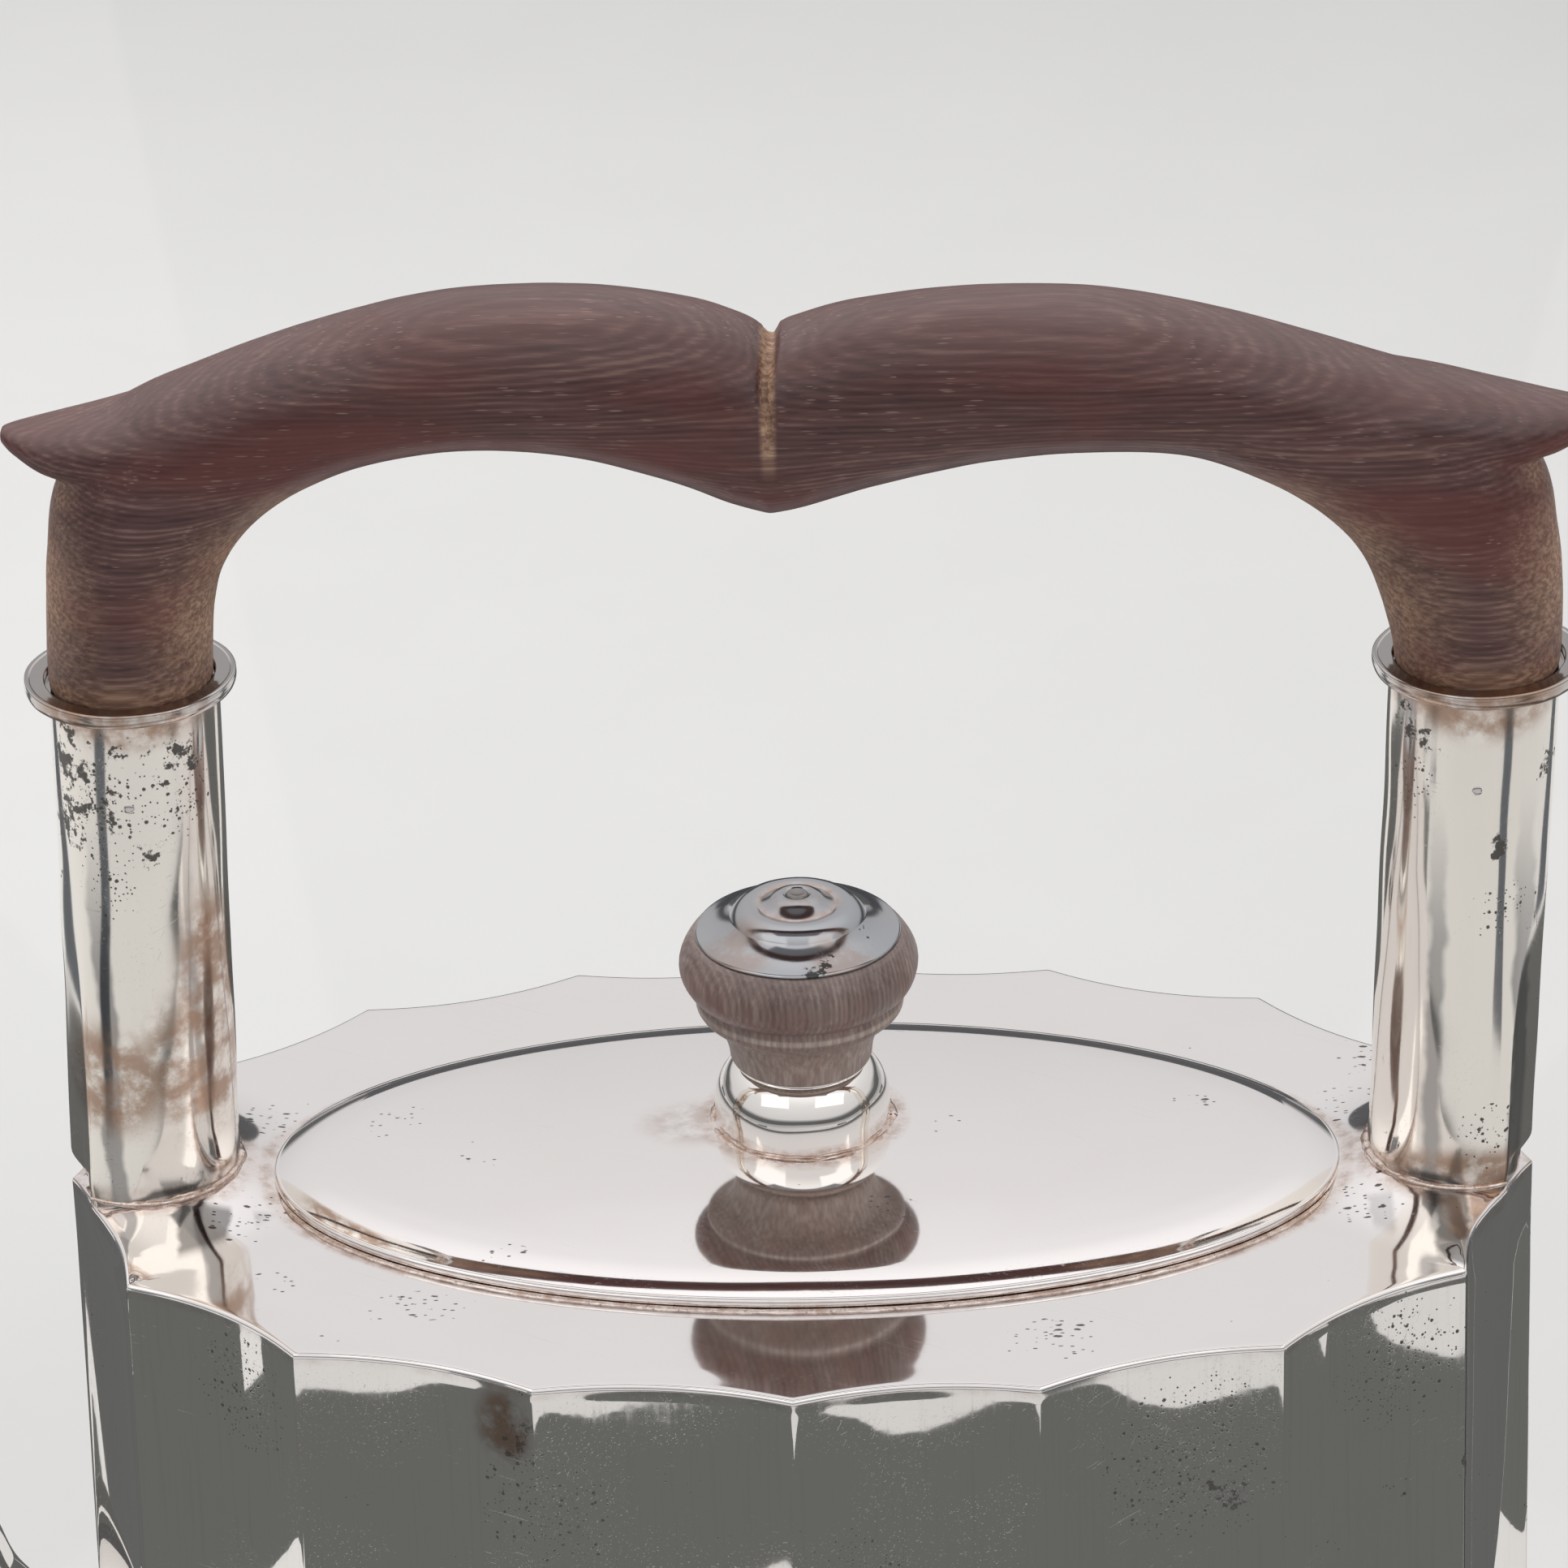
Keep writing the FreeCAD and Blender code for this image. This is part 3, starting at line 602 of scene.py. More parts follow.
def bead(name, path, sizes):
    """A solder bead: a tube along a path, with its own radius at each point, closed at both ends."""
    rows = []
    path = [Vector(point) for point in path]
    for i, point in enumerate(path):
        ahead = path[min(i + 1, len(path) - 1)] - path[max(i - 1, 0)]
        across = ahead.cross(Vector((0, 0, 1))).normalized()
        up = across.cross(ahead).normalized()
        row = []
        for angle in turn_angles(16):
            row.append(point + (across * math.cos(angle) + up * math.sin(angle)) * sizes[i])
        rows.append(row)
    return skin(name, rows, caps=True)


def solder_ring(name, x, y, z, radius, size, lumps):
    """Solder bead round an upright round joint. lumps are (length, reach) of its unevenness."""
    path = [(x + radius * math.cos(a), y + radius * math.sin(a), z) for a in turn_angles(160) + [TURN]]
    sizes = [size + sum(ripple(point, length, reach) for length, reach in lumps) for point in path]
    return bead(name, path, sizes)


def build_post_seam(side, name):
    """Uneven solder round the inner three sides of a post's foot."""
    path = []
    sizes = []
    steps = 150
    start = arris_angle(side) * 0.98
    axis = post_axis(side, POST_FOOT)
    for i in range(steps + 1):
        angle = start + (TURN - 2 * start) * i / steps
        radius = foot_radius(side, angle)
        x = axis + side * radius * math.cos(angle)
        y = radius * math.sin(angle)
        fade = math.sin(math.pi * i / steps) ** 0.35 if 0 < i < steps else 0.12
        lump = 0.52 + ripple((x, y, 2.0), 2.4, 0.22) + ripple((x, y, 4.0), 0.8, 0.12)
        path.append((x, y, DECK + SHOULDER_RISE + 0.02))
        sizes.append(max(0.06, lump * fade))
    return bead(name, path, sizes)


def build_collar(side, name):
    """Flat ring on a post's top, recessed for the handle's leg."""
    profile = [
        (7.6, 0), (9.4, 0), (10.0, 0.06, "arc"), (10.3, 0.3), (10.42, 0.75, "arc"), (10.4, 1.2),
        (10.36, 1.5, "arc"), (10.18, 1.62), (9.98, 1.6, "arc"), (9.8, 1.48), (9.0, 1.42), (8.5, 1.44),
        (8.4, 1.35), (8.38, 0.6), (7.6, 0.6),
    ]
    x = post_axis(side, POST_TOP) + COLLAR_SHIFT * side
    return lathe(name, profile, x, 0, POST_TOP, radius=0.08, wobble=0.1)


def build_collar_seam(side, name):
    """Thin solder line where a post meets its collar."""
    return solder_ring(name, post_axis(side, POST_TOP), 0, POST_TOP - 0.1, 8.42, 0.3, [(1.7, 0.1)])


def build_cross_pin(side, name):
    """Pin through post and tenon, its ends filed to low domes."""
    profile = [(0, -PIN_REACH - 0.05), (0.35, -PIN_REACH - 0.03, "arc"), (0.6, -PIN_REACH + 0.12),
               (0.6, PIN_REACH - 0.12), (0.35, PIN_REACH + 0.03, "arc"), (0, PIN_REACH + 0.05)]
    pin = lathe(name, profile, 0, 0, 0, segments=32, radius=0.02)
    return lay_down(pin, post_axis(side, PIN_Z), 0, PIN_Z, "X")


# ---- spout ----
# oval sections from root to mouth: far point, near point (each x, z) and half width
SPOUT = [
    (-70.0, 10.0, -70.0, 38.0, 11.5), (-84.0, 14.0, -79.8, 39.0, 10.2), (-97.0, 27.0, -84.4, 42.8, 9.0),
    (-102.8, 42.0, -86.6, 48.6, 8.0), (-105.6, 56.0, -89.6, 59.6, 7.2), (-109.2, 70.0, -94.2, 72.0, 6.5),
    (-114.6, 82.0, -100.6, 83.0, 6.0), (-121.8, 93.0, -108.4, 93.0, 5.6),
]
SPOUT_SHEET = 0.9
SPOUT_STEPS = 90


def oval_point(section, angle, thin):
    """A point of an oval section given as far end, near end and half width."""
    far = Vector((section[0], 0, section[1]))
    near = Vector((section[2], 0, section[3]))
    centre = (far + near) / 2
    reach = (far - near) / 2
    reach *= (reach.length - thin) / reach.length
    full = 1 + 0.04 * math.sin(2 * angle) ** 2
    return centre + (reach * math.cos(angle) + Vector((0, section[4] - thin, 0)) * math.sin(angle)) * full


def wall_x(y, z):
    """X of the wall's outer face at the spout's end of the pot."""
    end = RIDGES[8]
    cusp = RIDGES[7]
    u = min(1.0, abs(y) / cusp[1])
    hollow = 4 * FLUTE_DEPTH * u * (1 - u) * 0.93
    return end[0] + (cusp[0] - end[0]) * u + hollow - wall_offset(z)


def spout_start(sections, angle, thin):
    """How far along its length a spout line leaves the wall."""
    for i, section in enumerate(sections):
        point = oval_point(section, angle, thin)
        if point.x < wall_x(point.y, point.z) + 0.25:
            return i / (len(sections) - 1)
    return 0.0


def build_spout():
    """Hollow swept spout whose root follows the fluted wall."""
    sections = catmull(SPOUT, 24)
    last = len(sections) - 1
    around = 96
    rows = []
    for thin in (0.0, SPOUT_SHEET):
        starts = [spout_start(sections, angle, thin) for angle in turn_angles(around)]
        starts = [np.mean([starts[(j + k) % around] for k in (-1, 0, 1)]) for j in range(around)]
        for i in range(SPOUT_STEPS, -1, -1) if thin else range(SPOUT_STEPS + 1):
            row = []
            for start, angle in zip(starts, turn_angles(around)):
                along = (start + (1 - start) * i / SPOUT_STEPS) * last
                low = min(int(along), last - 1)
                section = sections[low] + (sections[low + 1] - sections[low]) * (along - low)
                point = oval_point(section, angle, thin)
                point = point + Vector((0, ripple(point, 14.0, 0.08), ripple(point * 1.3, 14.0, 0.08)))
                row.append(tuple(point))
            rows.append(row)
        if thin == 0:
            # the lip: a rounded edge between the outer and the inner face
            for share in (0.25, 0.5, 0.75):
                row = []
                for angle in turn_angles(around):
                    point = oval_point(SPOUT[-1], angle, SPOUT_SHEET * share)
                    row.append((point.x, point.y, point.z + 0.35 * math.sin(math.pi * share)))
                rows.append(row)
    return skin("spout_shell", rows, closed=True, sharp=60)


def build_spout_seam():
    """Solder bead round the spout's root."""
    sections = catmull(SPOUT, 24)
    path = []
    sizes = []
    for angle in turn_angles(120) + [TURN]:
        start = spout_start(sections, angle, 0.0)
        section = sections[int(start * (len(sections) - 1))]
        point = oval_point(section, angle, -0.1)
        point.x = wall_x(point.y, point.z) - 0.05
        path.append(tuple(point))
        sizes.append(0.62 + ripple(point, 3.0, 0.2))
    return bead("spout_solder", path, sizes)


# ---- foot ----
def ring_rows(outline, profile):
    """Rows round the pot for (inset, height) pairs."""
    rows = []
    for inset, z in profile:
        row = []
        for point in outline:
            here = point - outward(*point) * inset
            row.append((here.x, here.y, z))
        rows.append(row)
    return rows


def build_foot_rim(outline):
    """Rounded wire soldered round the foot."""
    profile = [(4.0, 0.0), (3.2, 0.02), (2.85, 0.25), (2.7, 0.8), (2.72, 1.5), (2.9, 2.0), (3.3, 2.2),
               (3.9, 2.15), (4.0, 1.2)]
    return skin("foot_wire", ring_rows(outline, profile), closed=True, sharp=60)


def build_base(outline):
    """Flat base sheet with a softened edge."""
    rows = []
    shares = [0.03, 0.2, 0.4, 0.6, 0.8, 0.93]
    for z in (0.0, SHEET):
        for share in shares if z == 0 else shares[::-1]:
            row = []
            for point in outline:
                here = (point - outward(*point) * 4.2) * share
                row.append((here.x, here.y, z))
            rows.append(row)
        if z == 0:
            rows += ring_rows(outline, [(4.2, 0.0), (4.05, 0.15), (4.05, SHEET - 0.15), (4.2, SHEET)])
    return skin("base_sheet", rows, caps=True, sharp=50)


# ---- knob ----
# half outlines of the knob's turned pieces: (radius, height over the knob's foot)
FERRULE = [
    (1.15, -0.4), (8.9, -0.4), (8.95, 2.6), (8.72, 4.5, "arc"), (7.9, 6.15), (7.3, 6.85, "arc"),
    (6.62, 7.3), (6.5, 7.45), (6.4, 7.75), (1.15, 7.75),
]
KNOB_WOOD = [
    (1.15, 7.6), (6.35, 7.6), (7.0, 7.85, "arc"), (7.25, 8.5), (7.45, 9.8, "arc"), (7.9, 11.1),
    (8.5, 12.3, "arc"), (9.4, 13.0), (10.0, 13.4), (10.55, 14.3, "arc"), (10.4, 15.5), (10.5, 15.7),
    (11.05, 16.1), (12.1, 18.7, "arc"), (10.95, 21.6), (10.55, 21.95), (1.15, 22.0),
]
KNOB_CAP = [
    (1.15, 22.0), (10.2, 22.0), (10.42, 22.15, "arc"), (10.25, 22.4), (9.6, 22.55), (8.1, 23.1, "arc"),
    (6.9, 24.0), (6.3, 24.75, "arc"), (5.5, 25.2), (4.7, 25.3, "arc"), (3.9, 25.1), (3.4, 25.35, "arc"),
    (2.6, 25.95), (2.0, 26.25, "arc"), (1.45, 26.3), (1.15, 26.1),
]
RIVET = [
    (0, -1.3), (2.4, -1.3), (2.4, -0.3), (1.15, -0.3), (1.15, 26.0), (1.05, 26.3, "arc"), (0.8, 26.4),
    (0.4, 26.3, "arc"), (0, 26.25),
]


def build_knob():
    """The knob's four turned pieces and the solder round its foot."""
    spot = (KNOB_X, KNOB_Y, KNOB_FOOT)
    return (
        lathe("knob_foot_drum", FERRULE, *spot, radius=0.15, wobble=0.08),
        lathe("knob_turning", KNOB_WOOD, *spot, wobble=0.1),
        lathe("knob_cap_disc", KNOB_CAP, *spot, radius=0.1, wobble=0.12),
        lathe("knob_rivet", RIVET, *spot, segments=48, radius=0.05),
        solder_ring("knob_solder", KNOB_X, KNOB_Y, KNOB_FOOT + 0.05, 9.2, 0.62, [(2.7, 0.24), (0.8, 0.1)]),
    )


# ---- hinge ----
KNUCKLE_LOW, KNUCKLE_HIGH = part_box("lid_hinge_knuckle")
HINGE_X, HINGE_Y, HINGE_Z = (KNUCKLE_LOW + KNUCKLE_HIGH) / 2 / MM
KNUCKLE_HALF = (KNUCKLE_HIGH.x - KNUCKLE_LOW.x) / 2 / MM
KNUCKLE_GAP = 0.3
KNUCKLE_R = 1.6
LEAF_THICK = 1.0
LEAF_REACH = 6.3         # of the plate's back edge, from the hinge's axis
BRIDGE_START = 2.1       # of the strip that joins the plate's two wings
STRAP_LAP = 1.4          # of the strap over the lid's edge
PLATE_BEVEL = 0.18


def along_hinge(name, profile):
    """Pieces turned about the hinge's axis, from a half outline of (radius, place along X)."""
    return lay_down(lathe(name, profile, 0, 0, 0, segments=56), HINGE_X, HINGE_Y, HINGE_Z, "Y")


def join(name, *pieces):
    """Makes one piece of several."""
    work = bmesh.new()
    for piece in pieces:
        work.from_mesh(piece.data)
        bpy.data.objects.remove(piece)
    mesh = bpy.data.meshes.new(name)
    work.to_mesh(mesh)
    work.free()
    return add_object(name, mesh)


def plate(name, low, high):
    """A flat plate with filed edges, between two corners in millimetres."""
    work = bmesh.new()
    bmesh.ops.create_cube(work, size=1.0)
    low = Vector(low)
    high = Vector(high)
    for vert in work.verts:
        vert.co = Vector([(low[i] + high[i]) / 2 + vert.co[i] * (high[i] - low[i]) for i in range(3)]) * MM
    bmesh.ops.bevel(work, geom=work.edges[:], offset=PLATE_BEVEL * MM, segments=3, profile=0.6,
                    affect="EDGES")
    mesh = bpy.data.meshes.new(name)
    work.to_mesh(mesh)
    work.free()
    mesh.shade_smooth()
    mesh.set_sharp_from_angle(angle=math.radians(50))
    return add_object(name, mesh)


def build_hinge():
    """Knuckles, pin, plate and strap."""
    half = KNUCKLE_HALF
    inner = half + KNUCKLE_GAP
    outer = inner + 2 * half
    top = DECK + LEAF_THICK
    back = HINGE_Y + LEAF_REACH
    tubes = []
    for side in (-1, 1):
        ends = (side * inner, side * outer)
        profile = [(0.7, ends[0]), (KNUCKLE_R, ends[0]), (KNUCKLE_R, ends[1]), (0.7, ends[1])]
        tubes.append(along_hinge("tube%d" % side, profile))
    knuckles = join("hinge_outer_knuckles", *tubes)
    profile = [(0.75, -half), (KNUCKLE_R, -half), (KNUCKLE_R, half), (0.75, half)]
    lid_knuckle = along_hinge("hinge_middle_knuckle", profile)
    pin = along_hinge("hinge_rod", [(0, -outer - 0.1), (0.5, -outer - 0.08), (0.7, -outer + 0.1),
                                    (0.7, outer - 0.1), (0.5, outer + 0.08), (0, outer + 0.1)])
    # two wings beside the lid's knuckle, and the strip behind it that joins them
    plates = [(-outer, HINGE_Y, -inner), (inner, HINGE_Y, outer), (-outer, HINGE_Y + BRIDGE_START, outer)]
    leaf = join("hinge_leaf", *[plate("wing%d" % i, (HINGE_X + start, front, DECK), (HINGE_X + end, back, top))
                                for i, (start, front, end) in enumerate(plates)])
    low = (HINGE_X - half, LID_Y + LID_B - STRAP_LAP, DECK + 0.85)
    strap = plate("hinge_strap", low, (HINGE_X + half, HINGE_Y - 1.0, DECK + 1.85))
    return knuckles, lid_knuckle, pin, leaf, strap


# ---- handle ----
# oval sections from each foot to the notch, heights over the deck: inner point, outer point
HANDLE_LEFT = [
    (-57.3, 56.3, -73.4, 56.3), (-57.1, 60.0, -73.3, 60.5), (-56.6, 64.8, -73.0, 65.8),
    (-55.6, 68.6, -72.5, 71.5), (-53.5, 72.0, -71.1, 78.4), (-50.6, 74.8, -66.0, 85.0),
    (-46.6, 77.4, -56.8, 89.4), (-40.3, 79.9, -45.7, 93.4), (-31.6, 81.2, -32.9, 96.3),
    (-21.4, 80.4, -20.1, 96.7), (-11.9, 77.7, -10.1, 95.4), (-5.9, 75.2, -4.7, 93.7),
    (-2.0, 74.0, -2.0, 92.1),
]
HANDLE_RIGHT = [
    (58.6, 56.3, 74.6, 56.3), (58.1, 60.0, 74.8, 60.5), (56.7, 64.8, 74.7, 65.8), (55.0, 68.5, 74.0, 71.5),
    (52.7, 71.4, 72.5, 77.9), (49.6, 74.1, 67.0, 84.7), (45.5, 76.7, 56.7, 88.4), (38.3, 79.5, 43.7, 92.6),
    (29.1, 80.1, 30.9, 95.5), (18.5, 79.0, 18.0, 96.0), (7.9, 76.7, 6.6, 94.9), (1.4, 74.7, 0.8, 93.3),
    (-2.0, 74.0, -2.0, 92.1),
]
# the pointed beaks: (distance out along X, lower height, upper height, half depth)
BEAK = [(52.0, 78.6, 88.6, 7.4), (60.0, 78.2, 87.0, 7.4), (66.5, 78.2, 85.4, 6.6), (71.5, 79.2, 84.4, 5.0),
        (74.6, 81.0, 83.9, 2.9), (76.0, 82.1, 83.7, 1.2)]
BEAK_SHIFT = {-1: 0.2, 1: 1.9}
HALF_DEPTH = 8.3         # of the bar, front to back
LEG_DEPTHS = (7.9, 8.0, 8.15)   # of the sections at each foot
TENON_R = 7.15
NOTCH_X = -2.0
NOTCH_FROM = 82.0        # height over the deck where the notch starts
VOXEL = 0.34             # of the mesh that melts the handle's parts into one


def squared(share):
    """Makes an oval a little fuller at its corners."""
    return math.copysign(abs(share) ** 0.93, share)


def oval_rows(sections, around=72):
    """Rows of points for oval sections given as (inner x, inner z, outer x, outer z, half depth)."""
    rows = []
    for ix, iz, ox, oz, half in sections:
        row = []
        for angle in turn_angles(around):
            c = squared(math.cos(angle))
            s = squared(math.sin(angle))
            x = (ix + ox) / 2 + (ox - ix) / 2 * c
            z = (iz + oz) / 2 + (oz - iz) / 2 * c
            row.append((x, half * s, DECK + z))
        rows.append(row)
    return rows


def build_handle():
    """One carved bar: both arms in one loft, the beaks and tenons melted in by remeshing,
    then smoothed, waved by hand and cut with the notch."""
    depths = LEG_DEPTHS + (HALF_DEPTH,) * (len(HANDLE_LEFT) - len(LEG_DEPTHS))
    left, right = [catmull([(*section, depth) for section, depth in zip(arm, depths)], 6)
                   for arm in (HANDLE_LEFT, HANDLE_RIGHT)]
    parts = [skin("bar", oval_rows(list(left) + list(right[::-1][1:])), caps=True)]
    for side in (-1, 1):
        beak = [(side * (x + BEAK_SHIFT[side]), low, side * (x + BEAK_SHIFT[side]), high, half)
                for x, low, high, half in BEAK]
        parts.append(skin("beak%d" % side, oval_rows(catmull(beak, 5), 48), caps=True))
        circles = []
        for z in (POST_TOP - 25.4, POST_TOP - 12.0, POST_TOP + 3.0):
            axis = post_axis(side, z)
            circles.append([(axis + TENON_R * math.cos(a), TENON_R * math.sin(a), z)
                            for a in turn_angles(64)])
        parts.append(skin("tenon%d" % side, circles, caps=True))
    handle = join("carved_handle", *parts)
    melt = handle.modifiers.new("melt", "REMESH")
    melt.mode = "VOXEL"
    melt.voxel_size = VOXEL * MM
    melt.use_smooth_shade = True
    soft = handle.modifiers.new("soften", "SMOOTH")
    soft.factor = 0.5
    soft.iterations = 9
    apply_modifiers(handle)
    carve(handle.data)
    handle.data.shade_smooth()
    return handle


def carve(mesh):
    """Knife work on the smooth handle: a V notch round its middle, and uneven shaping."""
    count = len(mesh.vertices)
    spots = np.empty(count * 3)
    mesh.vertices.foreach_get("co", spots)
    spots = spots.reshape(-1, 3) / MM
    normals = np.empty(count * 3)
    mesh.vertex_normals.foreach_get("vector", normals)
    normals = normals.reshape(-1, 3)
    uncarved = POST_TOP + 0.7
    for i in range(count):
        x, y, z = spots[i]
        if z < uncarved:
            continue
        push = ripple((x, y, z), 13.0, 0.16) + ripple((x, y * 1.4, z * 1.4), 4.2, 0.035)
        push *= ease((z - uncarved) / 4)
        height = z - DECK
        above = height - NOTCH_FROM
        lean = above * 0.02 + 0.25 * math.sin(height * 0.9)
        width = 0.3 + 0.5 * ease(above / 10.0)
        across = abs(x - NOTCH_X - lean)
        fade = ease(above / 4.0)
        if across < 2 * width and abs(y) > 1.0 or across < 2 * width and height > 88:
            push -= fade * (0.75 * max(0.0, 1 - across / width) + 0.2 * max(0.0, 1 - across / (2 * width)))
        spots[i] += normals[i] * push
    mesh.vertices.foreach_set("co", (spots * MM).ravel())
    mesh.update()


# ---- materials ----
class Wire:
    """An output in a material's node graph, which sums can be written with."""

    def __init__(self, paint, socket):
        self.paint = paint
        self.socket = socket

    def __add__(self, other):
        return self.paint.math("ADD", self, other)

    def __sub__(self, other):
        return self.paint.math("SUBTRACT", self, other)

    def __mul__(self, other):
        return self.paint.math("MULTIPLY", self, other)

    def __truediv__(self, other):
        return self.paint.math("DIVIDE", self, other)

    def __abs__(self):
        return self.paint.math("ABSOLUTE", self)

    __radd__ = __add__
    __rmul__ = __mul__


class Paint:
    """A material's node graph built with short calls. Arguments are numbers or wires."""

    def __init__(self, name):
        self.material = bpy.data.materials.new(name)
        self.material.use_nodes = True
        self.nodes = self.material.node_tree.nodes
        self.links = self.material.node_tree.links
        self.shader = self.nodes["Principled BSDF"]
        self.place = Wire(self, self.nodes.new("ShaderNodeTexCoord").outputs["Object"])
        self.x, self.y, self.z = [axis * (1 / MM) for axis in self.split(self.place)]

    def feed(self, socket, value):
        """Links a wire to a socket, or sets the socket to a number, a vector or a colour."""
        if isinstance(value, Wire):
            self.links.new(value.socket, socket)
        elif socket.type == "RGBA":
            socket.default_value = (*value, 1)
        else:
            socket.default_value = value

    def split(self, vector):
        """The three parts of a vector."""
        node = self.nodes.new("ShaderNodeSeparateXYZ")
        self.feed(node.inputs[0], vector)
        return [Wire(self, output) for output in node.outputs]

    def math(self, operation, a, b=0.0):
        """One sum."""
        node = self.nodes.new("ShaderNodeMath")
        node.operation = operation
        self.feed(node.inputs[0], a)
        self.feed(node.inputs[1], b)
        return Wire(self, node.outputs[0])

    def vector(self, operation, a, b):
        """One vector sum."""
        node = self.nodes.new("ShaderNodeVectorMath")
        node.operation = operation
        self.feed(node.inputs[0], a)
        self.feed(node.inputs[1], b)
        return Wire(self, node.outputs["Value" if operation in ("DISTANCE", "DOT_PRODUCT") else 0])

    def turned(self, turn, scale):
        """The place, turned and then stretched."""
        spin = self.nodes.new("ShaderNodeMapping")
        self.feed(spin.inputs["Vector"], self.place)
        self.feed(spin.inputs["Rotation"], turn)
        return self.vector("MULTIPLY", Wire(self, spin.outputs[0]), scale)

    def noise(self, size, detail=3.0, rough=0.55, vector=None, output=0):
        """Random clouds with features of a size in millimetres: grey from output 0, coloured from 1."""
        node = self.nodes.new("ShaderNodeTexNoise")
        self.feed(node.inputs["Vector"], vector or self.place)
        self.feed(node.inputs["Scale"], 1 / MM / size)
        self.feed(node.inputs["Detail"], detail)
        self.feed(node.inputs["Roughness"], rough)
        return Wire(self, node.outputs[output])

    def shaken(self, size, reach):
        """The place, shaken by a reach in millimetres with features of a size."""
        shift = self.vector("SUBTRACT", self.noise(size, 2.0, output=1), (0.5, 0.5, 0.5))
        return self.vector("ADD", self.place, self.vector("MULTIPLY", shift, (2 * reach * MM,) * 3))

    def cells(self, size, vector):
        """Random dots: the distance to the nearest one as a share of size, and its random number."""
        node = self.nodes.new("ShaderNodeTexVoronoi")
        self.feed(node.inputs["Vector"], vector)
        self.feed(node.inputs["Scale"], 1 / MM / size)
        split = self.nodes.new("ShaderNodeSeparateColor")
        self.links.new(node.outputs["Color"], split.inputs[0])
        return Wire(self, node.outputs["Distance"]), Wire(self, split.outputs[0])

    def step(self, value, low, high, start=0.0, end=1.0):
        """Smoothly from start, where value is low, to end, where value is high."""
        node = self.nodes.new("ShaderNodeMapRange")
        node.interpolation_type = "SMOOTHSTEP"
        if low > high:
            low, high, start, end = high, low, end, start
        for index, number in enumerate((value, low, high, start, end)):
            self.feed(node.inputs[index], number)
        return Wire(self, node.outputs[0])

    def line(self, value, reach):
        """1 where value is 0, fading to 0 at reach on both sides."""
        return self.step(abs(value), reach, 0.0)

    def mix(self, share, a, b):
        """A colour between two."""
        node = self.nodes.new("ShaderNodeMix")
        node.data_type = "RGBA"
        self.feed(node.inputs[0], share)
        self.feed(node.inputs[6], a)
        self.feed(node.inputs[7], b)
        return Wire(self, node.outputs[2])

    def most(self, masks):
        """The strongest of several masks."""
        total = masks[0]
        for mask in masks[1:]:
            total = self.math("MAXIMUM", total, mask)
        return total

    def near(self, x, y, z, reach, stretch=(1, 1, 1)):
        """1 at a place in millimetres, fading to 0 at reach. Where stretch is over 1 the reach is shorter."""
        spot = self.vector("MULTIPLY", self.place, stretch)
        there = (x * MM * stretch[0], y * MM * stretch[1], z * MM * stretch[2])
        return self.step(self.vector("DISTANCE", spot, there), reach * MM, 0.0)

    def around(self, spots):
        """The strongest of the masks round several spots."""
        return self.most([self.near(*spot) for spot in spots])

    def from_oval(self, a, b, x, y):
        """Distance out from an oval, in millimetres, true near the oval."""
        across = (self.x - x) / a
        along = (self.y - y) / b
        return (self.math("SQRT", across * across + along * along) - 1.0) * b

    def relief(self, height, depth, under=None):
        """Bump of a depth in millimetres."""
        node = self.nodes.new("ShaderNodeBump")
        self.feed(node.inputs["Distance"], depth * MM)
        self.feed(node.inputs["Height"], height)
        if under:
            self.feed(node.inputs["Normal"], under)
        return Wire(self, node.outputs[0])

    def streaks(self, turn, length, width, density):
        """Fine straight scratches along the turned X axis."""
        cloud = self.noise(width, 1.0, 0.4, self.turned(turn, (width / length, 1.0, 1.0)))
        return self.step(cloud, 0.5 + density, 0.53 + density)

    def facing_up(self):
        """How far the surface looks up, from -1 to 1."""
        return self.split(Wire(self, self.nodes.new("ShaderNodeNewGeometry").outputs["Normal"]))[2]

    def pits(self, size, share, mask, stretch):
        """Irregular pits of a size, in a share of the cells where mask is 1."""
        spot = self.vector("MULTIPLY", self.shaken(size * 0.9, size * 0.35), stretch)
        distance, chance = self.cells(size * 2.4, spot)
        return self.step(distance, 0.3, 0.2) * self.step(chance * mask, 1 - share, 1.02 - share)

    def crust(self, size, mask):
        """Broken dark crust where a mask is high."""
        cloud = self.noise(size, 6.0, 0.7) * 0.6 + self.noise(size * 3.0, 4.0, 0.6) * 0.4
        return self.step(cloud + (mask - 1.0) * 0.2, 0.485, 0.515)

    def finish(self, colour, gloss, bump, metallic=1.0):
        """Feeds the shader and hands over the material."""
        self.feed(self.shader.inputs["Base Color"], colour)
        self.feed(self.shader.inputs["Roughness"], gloss)
        self.feed(self.shader.inputs["Normal"], bump)
        self.shader.inputs["Metallic"].default_value = metallic
        return self.material


SILVER = (0.93, 0.905, 0.875)
DULL = (0.60, 0.585, 0.57)
YELLOWED = (0.84, 0.78, 0.74)
# grey painted into silver as a reflection of dark surroundings
PAINTED_REFLECTION_GREY = (0.27, 0.262, 0.258)
BROWN = (0.40, 0.25, 0.17)
PINK = (0.80, 0.64, 0.58)
BLACK = (0.045, 0.042, 0.04)
# fine scratches: (turn of their direction, length, width, how thinly they are spread)
SCRATCHES = [((0, 0.0, 0.5), 22.0, 0.15, 0.23), ((0, 0.4, -0.35), 16.0, 0.14, 0.24),
             ((0.3, 1.2, 0.1), 14.0, 0.13, 0.24), ((0.8, -0.9, 1.7), 20.0, 0.14, 0.23)]


